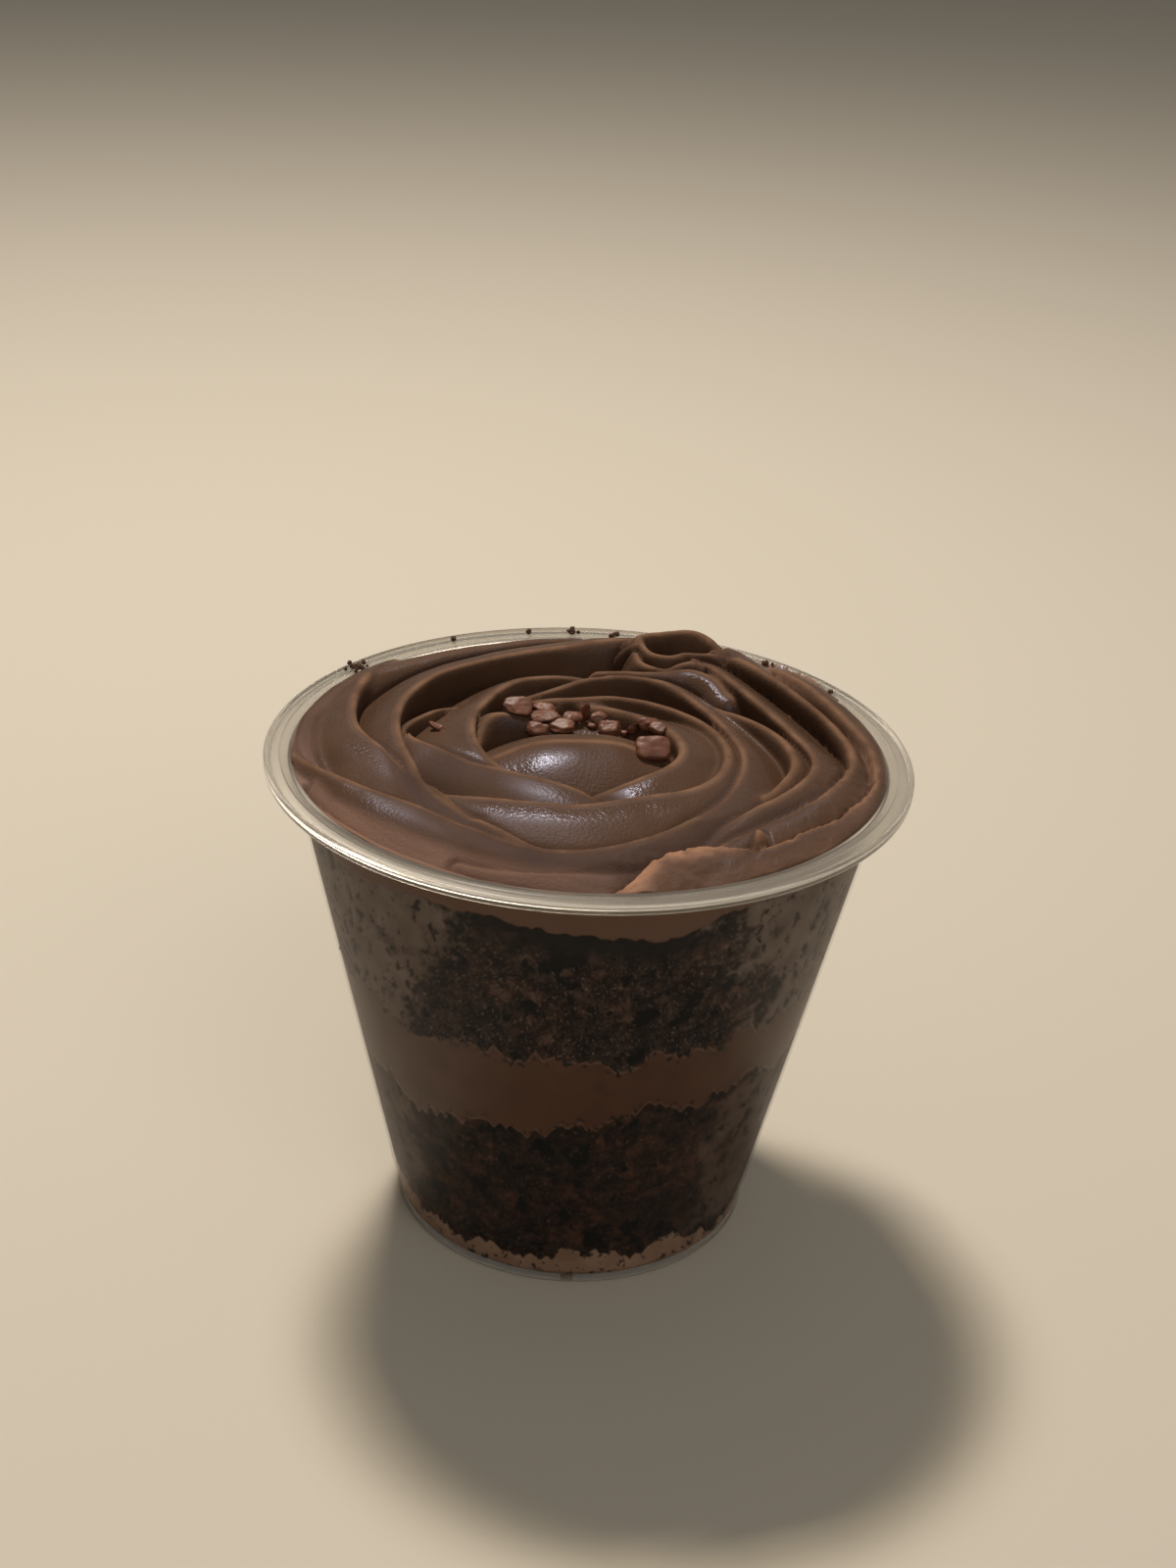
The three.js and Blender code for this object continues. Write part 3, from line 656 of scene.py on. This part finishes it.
def cup_outline():
    """Outline from the axis under the floor, up the outside and down the inside."""
    flat = RIM_RADIUS - 0.9
    under = RIM - 0.7
    inside = FLOOR_RISE + WALL
    step_foot = STEP_HEIGHT - STEP_RISE
    slope = (WALL_TOP - WALL_FOOT) / (RIM - STEP_HEIGHT)
    wall_under = WALL_FOOT + slope * (under - STEP_HEIGHT)
    clear = RIM - 2
    wall_clear = WALL_FOOT + slope * (clear - STEP_HEIGHT)
    return [
        (0, FLOOR_RISE), (FOOT_RADIUS - 2.8, FLOOR_RISE), (FOOT_RADIUS - 2.4, 0),
        (FOOT_RADIUS - 0.4, 0), (FOOT_RADIUS, 0.4), (KNEE_RADIUS, step_foot),
        (WALL_FOOT, STEP_HEIGHT), (wall_clear, clear), (wall_under, under), (flat, under),
        (flat + 0.1, RIM - 1.2), (RIM_RADIUS - 0.1, RIM - 1.2), (RIM_RADIUS, RIM - 0.6),
        (RIM_RADIUS, RIM), (RIM_RADIUS - 0.35, RIM + BEAD_RISE), (flat + 0.25, RIM + BEAD_RISE),
        (flat, RIM - 0.02), (flat - 0.3, RIM), (flat - 1.2, RIM), (flat - 1.35, RIM - 0.08),
        (flat - 1.5, RIM), (WALL_TOP - 0.4, RIM), (WALL_TOP - WALL, RIM - 0.3),
        (wall_clear - WALL, clear), (WALL_FOOT - WALL, STEP_HEIGHT),
        (KNEE_RADIUS - WALL, step_foot),
        (FOOT_RADIUS - WALL, inside + 0.5), (FOOT_RADIUS - WALL - 0.5, inside), (0, inside),
    ]


def turn_cup(segments=256):
    """The cup as one closed body of revolution."""
    outline = rounded_outline(cup_outline(), 0.25)
    angle = np.linspace(0, 2 * math.pi, segments, endpoint=False)
    inner = outline[1:-1]
    rings = polar(inner[:, :1], angle[None, :], inner[:, 1:])
    points, faces = rings_to_solid(rings, (0, 0, outline[0][1]), (0, 0, outline[-1][1]))
    rim = np.clip((points[:, 2] - RIM + 1.6) / 0.3, 0, 1)
    return make_mesh("clear_cup", points, faces, plastic, values={"rim": rim})


cup = turn_cup()
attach(cup, "root")
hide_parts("cup")

# %% [markdown]
# ## The layers against the wall
# Each layer is a closed body whose side lies just inside the plastic. Cake is pitted
# where it misses the wall, and smooth where a film of fat covers it.

# %% Film of fat on the wall
FILMS = [
    # middle angle, half width at the low and the high end, low, high
    (202, 17, 44, 41, 72),
    (340, 20, 42, 43, 72),
    (40, 14, 24, 44, 72),
    (110, 12, 20, 50, 72),
    (334, 18, 24, 6, 33),
    (200, 12, 20, 6, 31),
]
FILM_FADE = 26  # degrees over which the side edges of the film fade
FILM_FADE_RISE = 5  # mm over which its lower and upper edges fade


def film_cover(points_mm):
    """How much of a wall point is covered by the film, from 0 to 1, soft at its edges."""
    angle = np.degrees(np.arctan2(points_mm[..., 1], points_mm[..., 0])) % 360
    z = points_mm[..., 2]
    cover = np.zeros(angle.shape)
    for middle, low_half, high_half, low, high in FILMS:
        half = np.interp(z, [low, high], [low_half, high_half])
        across = (half - np.abs((angle - middle + 180) % 360 - 180)) / FILM_FADE + 0.5
        up = np.minimum(z - low, high - z) / FILM_FADE_RISE + 0.5
        cover = np.maximum(cover, np.minimum(np.clip(across, 0, 1), np.clip(up, 0, 1)))
    return np.clip(cover + 0.6 * bumps(points_mm, 6, 4, 4) * np.clip(3 * cover, 0, 1), 0, 1)


DAMP_MIDDLE, DAMP_HALF, DAMP_FADE = 272, 48, 14  # degrees round the cup


def damp_cover(points_mm, high):
    """How damp and smooth the crumb is just under the frosting at the front."""
    angle = np.degrees(np.arctan2(points_mm[..., 1], points_mm[..., 0])) % 360
    front = np.clip((DAMP_HALF - np.abs(angle - DAMP_MIDDLE)) / DAMP_FADE, 0, 1)
    near = np.clip(1.3 - (high - points_mm[..., 2]) / 4.5, 0, 1)
    return front * np.clip(near + 0.5 * bumps(points_mm, 4, 3, 12) * near, 0, 1)


# %% Build the layers
def layer_piece(name, low, high, rows, material, node, pits=0.0):
    """A closed layer between two seam lines. pits is the depth of its deepest holes."""
    share = np.linspace(0, 1, rows)[:, None]
    z = low + (high - low) * share
    points = polar(inner_wall(z) + SINK, ANGLES[None, :], z)
    film = film_cover(points)
    damp = damp_cover(points, high) if node == "upper_cake" else 0 * film
    seam_distance = np.minimum(z - low, high - z)
    if pits:
        holes = np.clip(bumps(points, 2.6, 3, 2) - 0.42, 0, 1) * 3.0
        grain = 0.12 * np.clip(bumps(points, 0.8, 2, 3), -0.5, 1)
        depth = np.clip(pits * holes + grain, 0, pits) * (1 - film)
        fade = np.clip(seam_distance / 0.5, 0, 1)
        points = polar(inner_wall(z) + SINK - depth * fade, ANGLES[None, :], z)
    values = {
        "film": np.append(film.ravel(), [0, 0]),
        "damp": np.append(damp.ravel(), [0, 0]),
        "seam": np.append(np.exp(-seam_distance / 0.9).ravel(), [0, 0]),
    }
    bottom = (0, 0, float(np.mean(low)))
    top = (0, 0, float(np.mean(high)))
    solid, faces = rings_to_solid(points, bottom, top)
    piece = make_mesh(name, solid, faces, material, values=values)
    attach(piece, "root")
    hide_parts(node)


cup_floor = FLOOR_RISE + WALL - SINK
floor_line = np.full(COLUMNS, cup_floor)
layer_piece("bottom_cream", floor_line, seam_lines["base_cream"], 8,
            bottom_cream, "base_cream")
layer_piece("cake_below", seam_lines["base_cream"], seam_lines["lower_cake"], 84,
            lower_crumb, "lower_cake", pits=0.3)
layer_piece("cream_between", seam_lines["lower_cake"], seam_lines["filling"], 24,
            filling_cream, "cream_filling")
layer_piece("cake_above", seam_lines["filling"], seam_lines["upper_cake"], 76,
            upper_crumb, "upper_cake", pits=0.3)

# %% [markdown]
# ## The frosting
# The top is a polar grid lifted by the height function. Its edge rests on the rim or
# against the wall, and its side follows the wall down to the upper seam.

# %% Build the frosting
LAP_START, LAP_TURN = 20, 52  # degrees at the back right where frosting laps over the rim
LAP_REACH = 2.2
TEAR_START, TEAR_END = -86, 4  # degrees between which the outer crest is torn
TEAR_FROM = 33  # radius of the innermost tear
THIN_FROM = 38.5  # radius outside which the frosting thins out and is painted lighter
PAINTED_LIGHT_MORE = 2.5  # how much further in the painted light starts at the front left, where the band lies in shade
THIN_MIDDLE, THIN_HALF, THIN_FADE = 255, 45, 12  # degrees of the front left


def lap_over_rim(angle):
    """How far the frosting laps outwards over the rim."""
    t = (np.degrees(angle) - LAP_START) / LAP_TURN
    return np.where((t > 0) & (t < 1), LAP_REACH * np.sin(np.pi * np.clip(t, 0, 1)) ** 2, 0)


def frosting_edge():
    """The reach of the lap, and the radius and height over the rim of the top's edge."""
    lap = lap_over_rim(ANGLES)
    rough_edge = polar(WALL_TOP, ANGLES, 0 * ANGLES)
    lap = lap + np.clip(3 * lap, 0, 1) * 1.1 * bumps(rough_edge, 2.2, 5, 5)
    wall_edge = inner_wall(RIM) + SINK
    reach = wall_edge + lap
    edge_z = rose(reach * np.cos(ANGLES), reach * np.sin(ANGLES))[0]
    edge_z = np.maximum(edge_z, np.where(lap > 0, 0.6, FAR_BELOW))
    below = np.minimum(RIM + edge_z, RIM)
    return lap, np.where(lap > 0, reach, inner_wall(below) + SINK), edge_z


def frosting_top(lap, edge, edge_z, rings):
    """Radius and height over the rim on a polar grid, with the values for the shading."""
    share = np.linspace(1, 0, rings + 1)[:-1, None] ** 0.85
    radius = share * edge[None, :]
    x, y = radius * np.cos(ANGLES), radius * np.sin(ANGLES)
    flat = np.stack([x, y, 0 * x], -1)
    # a torn crest wanders to and fro, is ragged and lasts from the front to the right
    degrees = np.degrees(np.arctan2(y, x))
    tear = np.clip((degrees - TEAR_START) / 4, 0, 1) * np.clip((TEAR_END - degrees) / 12, 0, 1)
    wander = 0.4 * bumps(flat, 2.5, 3, 7) + 0.2 * bumps(flat, 1.0, 2, 11)
    wander = tear * (radius > TEAR_FROM) * wander
    z, crest, torn, crease, sheen = rose(x + wander * np.cos(ANGLES), y + wander * np.sin(ANGLES))
    torn = torn * tear * np.clip(1 + 0.5 * bumps(flat, 2.0, 2, 8), 0, 1)
    torn = torn * np.interp(degrees, [-66, -56], [1, 0.55])
    z = z + 0.12 * bumps(flat, 7, 2) + torn * (0.15 + 0.25 * bumps(flat, 1.4, 2, 9))
    shoulder = np.clip((radius - edge + 1.0) / 1.0, 0, 1) ** 2
    z = z - 0.7 * shoulder * np.clip(edge_z, 0, 1)
    z[0] = np.maximum(z[0], np.where(lap > 0, 0.25, FAR_BELOW))
    # the ropes lean inwards, so their inner flanks overhang a little
    lean = LEAN * np.clip((radius - 5) / 7, 0, 1) * np.clip((39 - radius) / 5, 0, 1)
    radius = radius + lean * (LEAN_LEVEL - z)
    # painted light: the thin band by the rim is lightened, partly its own colour and partly painted
    # light, reaching further in at the front left where it lies in shade
    from_front = np.abs(np.degrees(ANGLES) % 360 - THIN_MIDDLE)
    front = np.clip((THIN_HALF - from_front) / THIN_FADE, 0, 1)[None, :]
    thin_and_painted_light = np.clip((radius - THIN_FROM + PAINTED_LIGHT_MORE * front) / 1.5, 0, 1) * np.clip(1.1 - z, 0, 1)
    thin_and_painted_light = thin_and_painted_light * (1 - 0.7 * tear)
    shading = {"crease": crease, "thin_and_painted_light": thin_and_painted_light, "crest": crest, "torn": torn, "sheen": sheen}
    return radius, z, shading


def frosting_side(lap, edge, start, side_rows):
    """Rings from the upper seam up the wall and out to the top's edge at heights `start`."""
    low_edge = np.minimum(start - 0.25, RIM - 0.03)
    rim_rows = [
        polar(inner_wall(low_edge) + SINK, ANGLES, low_edge - 0.05),
        polar(edge, ANGLES, low_edge),
        polar(edge + 0.08 * (lap > 0), ANGLES, 0.5 * (start + low_edge)),
    ]
    down = np.linspace(0, 1, side_rows)[1:, None]
    side_z = low_edge - 0.05 + (seam_lines["upper_cake"] - low_edge + 0.05) * down
    side = polar(inner_wall(side_z) + SINK, ANGLES[None, :], side_z)
    return np.concatenate([side[::-1], rim_rows])


def build_frosting(rings=116, side_rows=14):
    """The frosting as one closed body with a value at each point for its shading."""
    lap, edge, edge_z = frosting_edge()
    radius, z, shading = frosting_top(lap, edge, edge_z, rings)
    top = polar(radius, ANGLES[None, :], RIM + z)
    side = frosting_side(lap, edge, RIM + z[0], side_rows)
    bottom = (0, 0, float(np.mean(seam_lines["upper_cake"])))
    peak = (0, 0, RIM + float(rose(np.zeros(1), np.zeros(1))[0][0]))
    points, faces = rings_to_solid(np.concatenate([side, top]), bottom, peak)
    blank = np.zeros(side.shape[:2])
    values = {
        key: np.append(np.concatenate([blank, value]).ravel(), [0, 0])
        for key, value in shading.items()
    }
    values["pressed"] = np.append(np.concatenate([blank + 1, 0 * z]).ravel(), [1, 0])
    return make_mesh("frosting_rose", points, faces, frosting, values=values)


rose_piece = build_frosting()
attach(rose_piece, "root")
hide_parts("top_frosting")

# %% [markdown]
# ## Chocolate bits
# Small chipped bits of milk chocolate lie round the heart of the rose. Each row gives a
# place, three sizes, a turn and a tilt. A bit is then set down until it touches.

# %% Build the chocolate bits
BITS = [
    # x, y, lift above the frosting, length, width, thickness, turn, tilt, squareness
    (-10.6, 6.2, 1.1, 4.3, 3.4, 1.5, 10, 28, 2.9),
    (-7.0, 12.1, 1.1, 3.4, 2.4, 1.4, 0, 15, 2.8),
    (-6.4, 5.3, 1.5, 4.6, 3.0, 1.1, 5, 6, 3.2),
    (-7.6, 3.1, 0.8, 3.3, 2.5, 1.7, -25, 30, 2.8),
    (-4.4, 4.0, 1.1, 4.0, 2.8, 1.3, -5, 14, 3.2),
    (-2.8, 6.9, 1.0, 3.2, 2.3, 1.7, 20, 20, 2.8),
    (-1.0, 8.0, 1.6, 1.5, 0.5, 3.2, 20, 12, 3.6),
    (1.1, 7.6, 1.1, 2.8, 2.1, 1.9, 35, 15, 2.8),
    (0.1, 6.4, 0.7, 1.4, 1.1, 0.9, 0, 10, 2.4),
    (2.7, 3.8, 2.2, 3.3, 2.6, 2.3, 10, 8, 3.0),
    (2.9, 3.6, 0.6, 2.4, 2.0, 1.6, 40, 0, 2.8),
    (6.2, 4.3, 1.0, 2.2, 0.9, 1.6, 40, 15, 3.0),
    (4.9, 4.9, 0.6, 1.3, 1.1, 0.8, 0, 0, 2.4),
    (8.2, 3.4, 1.0, 3.0, 2.3, 1.8, -20, 15, 2.8),
    (9.6, 1.9, 0.9, 2.8, 2.0, 1.5, -30, 10, 2.8),
    (8.8, -5.2, 1.2, 4.7, 3.7, 1.6, 8, 34, 5.0),
    (-22.0, 1.3, 0.9, 3.4, 1.1, 0.9, -48, 15, 3.0),
    (-3.0, 4.8, 0.5, 1.2, 0.9, 0.7, 30, 0, 2.4),
]
BIT_SINK = 0.15  # how deep the lowest edge of a bit is pressed into the frosting
ON_ANOTHER = 2.0  # a bit lifted this far rests on another bit
CUT_BLOCK = 4  # a bit squarer than this is a clean block and isn't chipped
CHIPS = 7  # flat sides struck off each other bit


def ball(columns=48, rows=27):
    """Rings of a unit ball between its poles, from the bottom up."""
    rise = np.linspace(-math.pi / 2, math.pi / 2, rows)[1:-1, None]
    turn = np.linspace(0, 2 * math.pi, columns, endpoint=False)[None, :]
    return polar(np.cos(rise), turn, np.sin(rise))


def bit_points(bit, seed):
    """A block of the given sizes, chipped flat on a few sides, roughened and set down on
    the frosting."""
    x, y, lift, length, width, thickness, turn, tilt, square = bit
    rings = ball()
    poles = np.array([[0, 0, -1.0], [0, 0, 1.0]])
    points = np.concatenate([rings.reshape(-1, 3), poles])
    norm = (np.abs(points) ** square).sum(1, keepdims=True) ** (1 / square)
    points = points / norm
    rng = np.random.default_rng(seed)
    for _ in range(CHIPS if square < CUT_BLOCK else 0):
        away = rng.normal(size=3)
        away /= np.linalg.norm(away)
        reach = rng.uniform(0.68, 0.95)
        points = points / np.maximum(1, points @ away / reach)[:, None]
    points = points * (1 + 0.1 * bumps(points, 0.6, 3, seed))[:, None]
    points = points * (0.5 * np.array([length, width, thickness]))
    tilted = Matrix.Rotation(math.radians(tilt), 3, "X")
    matrix = Matrix.Rotation(math.radians(turn), 3, "Z") @ tilted
    ground = float(rose(np.array([x]), np.array([y]))[0][0])
    points = points @ np.array(matrix).T + [x, y, RIM + ground + lift]
    gap = (points[:, 2] - RIM - rose(points[:, 0], points[:, 1])[0]).min()
    if lift < ON_ANOTHER:
        points[:, 2] -= max(gap + BIT_SINK, 0)
    return points


def build_bits():
    """All chocolate bits in one mesh."""
    rings = ball()
    points, faces = [], []
    _, ball_faces = rings_to_solid(rings, (0, 0, -1), (0, 0, 1))
    for i, bit in enumerate(BITS):
        offset = sum(len(p) for p in points)
        points.append(bit_points(bit, i))
        faces += [[offset + k for k in face] for face in ball_faces]
    return make_mesh("chocolate_bits", np.concatenate(points), faces, milk_chocolate)


bits = build_bits()
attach(bits, "root")

# %% [markdown]
# ## Loose crumbs
# Geometry Nodes sets one rough crumb on every point of a cloud, each with its own size
# and turn, and makes the copies real. The points lie on the film, along the seams and
# on the rim.

# %% Places for the crumbs
RIM_CRUMBS = [
    # angle, radius, reach of the cluster in mm, number of crumbs
    (146, 43.2, 0.8, 30), (95, 43.5, 0.4, 12), (86, 43.0, 0.35, 9), (120, 44.0, 0.2, 3),
    (104, 44.2, 0.15, 2), (63, 43.6, 0.5, 8), (52, 43.7, 0.4, 6), (34, 43.5, 0.3, 4),
]
FILM_TRIES = 5200  # places tried all round the wall
FILM_SHARE = 0.22  # share of the tries on the film that get a crumb
SEAM_CRUMBS = 170  # crumbs along each seam
CRUMB_INSET = 0.05  # how far a crumb's middle lies inside the wall


def crumb_places(seed=5):
    """Points for the crumbs and a size for each."""
    rng = np.random.default_rng(seed)
    angle = rng.uniform(0, 2 * math.pi, FILM_TRIES)
    z = rng.uniform(8, 71, angle.size)
    wall = polar(inner_wall(z) - CRUMB_INSET, angle, z)
    on_film = (film_cover(wall) > 0.6) & (rng.random(angle.size) < FILM_SHARE)
    places = [wall[on_film]]
    sizes = [0.25 + 0.3 * rng.random(on_film.sum()) ** 2]
    for name in ("lower_cake", "filling", "base_cream"):
        columns = rng.integers(0, COLUMNS, SEAM_CRUMBS)
        level = seam_lines[name][columns] + rng.normal(0, 0.9, SEAM_CRUMBS)
        places.append(polar(inner_wall(level) - CRUMB_INSET, ANGLES[columns], level))
        sizes.append(0.25 + 0.35 * rng.random(SEAM_CRUMBS) ** 2)
    for degrees, radius, reach, count in RIM_CRUMBS:
        centre = polar(np.array(radius), np.array(math.radians(degrees)), RIM + 0.3)
        away = rng.normal(0, reach, (count, 3))
        places.append(centre + away * (1, 1, 0) + (0, 0, 0.5) * np.abs(away))
        sizes.append(0.2 + 0.3 * rng.random(count))
    return np.concatenate(places), np.concatenate(sizes)


# %% Scatter the crumbs with Geometry Nodes
def crumb_nodes(material):
    """A node group that sets a rough crumb on every point of the incoming mesh."""
    tree = bpy.data.node_groups.new("scatter crumbs", "GeometryNodeTree")
    sockets = (("Geometry", "Geometry"), ("Crumb Radius", "Float"), ("Seed", "Int"))
    for name, kind in sockets:
        tree.interface.new_socket(name, in_out="INPUT", socket_type="NodeSocket" + kind)
    tree.interface.new_socket("Geometry", in_out="OUTPUT", socket_type="NodeSocketGeometry")
    start = add(tree, "NodeGroupInput").outputs
    end = add(tree, "NodeGroupOutput")
    ico = add(tree, "GeometryNodeMeshIcoSphere", inputs={"Subdivisions": 2})
    tree.links.new(start["Crumb Radius"], ico.inputs["Radius"])
    grain = add(tree, "ShaderNodeTexNoise", inputs={"Scale": 1.1 / MM, "Detail": 3.0})
    push = add(tree, "ShaderNodeVectorMath", operation="SUBTRACT", inputs={1: (0.5, 0.5, 0.5)})
    tree.links.new(grain.outputs["Color"], push.inputs[0])
    amount = add(tree, "ShaderNodeVectorMath", operation="SCALE", inputs={"Scale": 1.3 * MM})
    tree.links.new(push.outputs[0], amount.inputs[0])
    rough = add(tree, "GeometryNodeSetPosition", links={"Geometry": ico.outputs["Mesh"]})
    tree.links.new(amount.outputs[0], rough.inputs["Offset"])
    turn = add(tree, "FunctionNodeRandomValue", data_type="FLOAT_VECTOR")
    turn.inputs[1].default_value = (6.28, 6.28, 6.28)
    tree.links.new(start["Seed"], turn.inputs["Seed"])
    size = add(tree, "GeometryNodeInputNamedAttribute", data_type="FLOAT", inputs={"Name": "size"})
    copies = add(
        tree,
        "GeometryNodeInstanceOnPoints",
        links={"Points": start["Geometry"], "Instance": rough.outputs["Geometry"]},
    )
    tree.links.new(turn.outputs[0], copies.inputs["Rotation"])
    tree.links.new(size.outputs[0], copies.inputs["Scale"])
    real = add(tree, "GeometryNodeRealizeInstances", links={"Geometry": copies.outputs[0]})
    finish = add(tree, "GeometryNodeSetMaterial", links={"Geometry": real.outputs[0]})
    finish.inputs["Material"].default_value = material
    tree.links.new(finish.outputs[0], end.inputs[0])
    return tree


def build_crumbs():
    """The crumbs as one plain mesh."""
    places, sizes = crumb_places()
    cloud = make_mesh("crumb_places", places, [], crumbs, values={"size": sizes})
    modifier = cloud.modifiers.new("crumbs", "NODES")
    group = crumb_nodes(crumbs)
    modifier.node_group = group
    sockets = {s.name: s.identifier for s in group.interface.items_tree if s.in_out == "INPUT"}
    modifier[sockets["Crumb Radius"]] = 0.9 * MM
    modifier[sockets["Seed"]] = 3
    graph = bpy.context.evaluated_depsgraph_get()
    mesh = bpy.data.meshes.new_from_object(cloud.evaluated_get(graph))
    bpy.data.objects.remove(cloud)
    piece = bpy.data.objects.new("loose_crumbs", mesh)
    bpy.context.scene.collection.objects.link(piece)
    print("loose_crumbs:", len(places), "crumbs,", len(mesh.polygons), "faces")
    return piece


loose = build_crumbs()
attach(loose, "root")

# %% [markdown]
# ## Stage, light and camera
# A pale floor, a small soft light overhead from behind, and a wide fill from the front.

# %% Floor and light
def build_floor():
    """A plain pale floor."""
    material, tree, out = new_material("pale floor")
    finish_surface(tree, out, {}, {"Base Color": linear("#d3ccbd"), "Roughness": 0.7})
    size = 6000
    corners = [(-size, -size, 0), (size, -size, 0), (size, size, 0), (-size, size, 0)]
    return make_mesh("floor", corners, [[0, 1, 2, 3]], material, smooth=False)


def area_light(name, place, target, size, power, colour):
    """A square soft light at `place` that looks at `target`, both in metres."""
    light = bpy.data.lights.new(name, "AREA")
    light.shape = "RECTANGLE"
    light.size, light.size_y = size
    light.energy = power
    light.color = linear(colour)[:3]
    obj = bpy.data.objects.new(name, light)
    obj.location = place
    way = Vector(target) - Vector(place)
    obj.rotation_euler = way.to_track_quat("-Z", "Y").to_euler()
    bpy.context.scene.collection.objects.link(obj)
    return obj


floor = build_floor()
middle = (0, 0, 0.06)
lights = [
    area_light("overhead", (-0.15, 0.38, 0.85), middle, (0.14, 0.1), 7.2, "#fff3e6"),
    area_light("fill", (0.45, -1.0, 0.95), middle, (0.9, 0.9), 3.8, "#fff6ec"),
]
world = bpy.data.worlds.new("soft room")
world.use_nodes = True
world.node_tree.nodes["Background"].inputs["Color"].default_value = linear("#d8d4cc")
world.node_tree.nodes["Background"].inputs["Strength"].default_value = 0.22
bpy.context.scene.world = world
bpy.context.scene.view_settings.view_transform = "Standard"
print(len(lights), "lights")

# %% Camera
LENS = 52.0
LOOK_DOWN = 25.914  # degrees
ROLL = -2.793  # degrees
DISTANCE = 0.327788  # metres from the middle of the cup
RAISED = 0.007166  # metres the camera stands above that line of sight


def build_camera():
    """A camera that looks down at the cup from the front, with a slight roll."""
    data = bpy.data.cameras.new("camera")
    data.lens = LENS
    data.sensor_width = 36.0
    data.clip_start = 0.01
    obj = bpy.data.objects.new("camera", data)
    down = math.radians(LOOK_DOWN)
    roll = math.radians(ROLL)
    right = Vector((1, 0, 0))
    up = Vector((0, math.sin(down), math.cos(down)))
    back = Vector((0, -math.cos(down), math.sin(down)))
    turned_right = math.cos(roll) * right - math.sin(roll) * up
    turned_up = math.sin(roll) * right + math.cos(roll) * up
    turn = Matrix((turned_right, turned_up, back)).transposed().to_4x4()
    place = Vector(middle) + back * DISTANCE + up * RAISED
    obj.matrix_world = Matrix.Translation(place) @ turn
    bpy.context.scene.collection.objects.link(obj)
    bpy.context.scene.camera = obj
    print("camera at", [round(v, 3) for v in place])


build_camera()
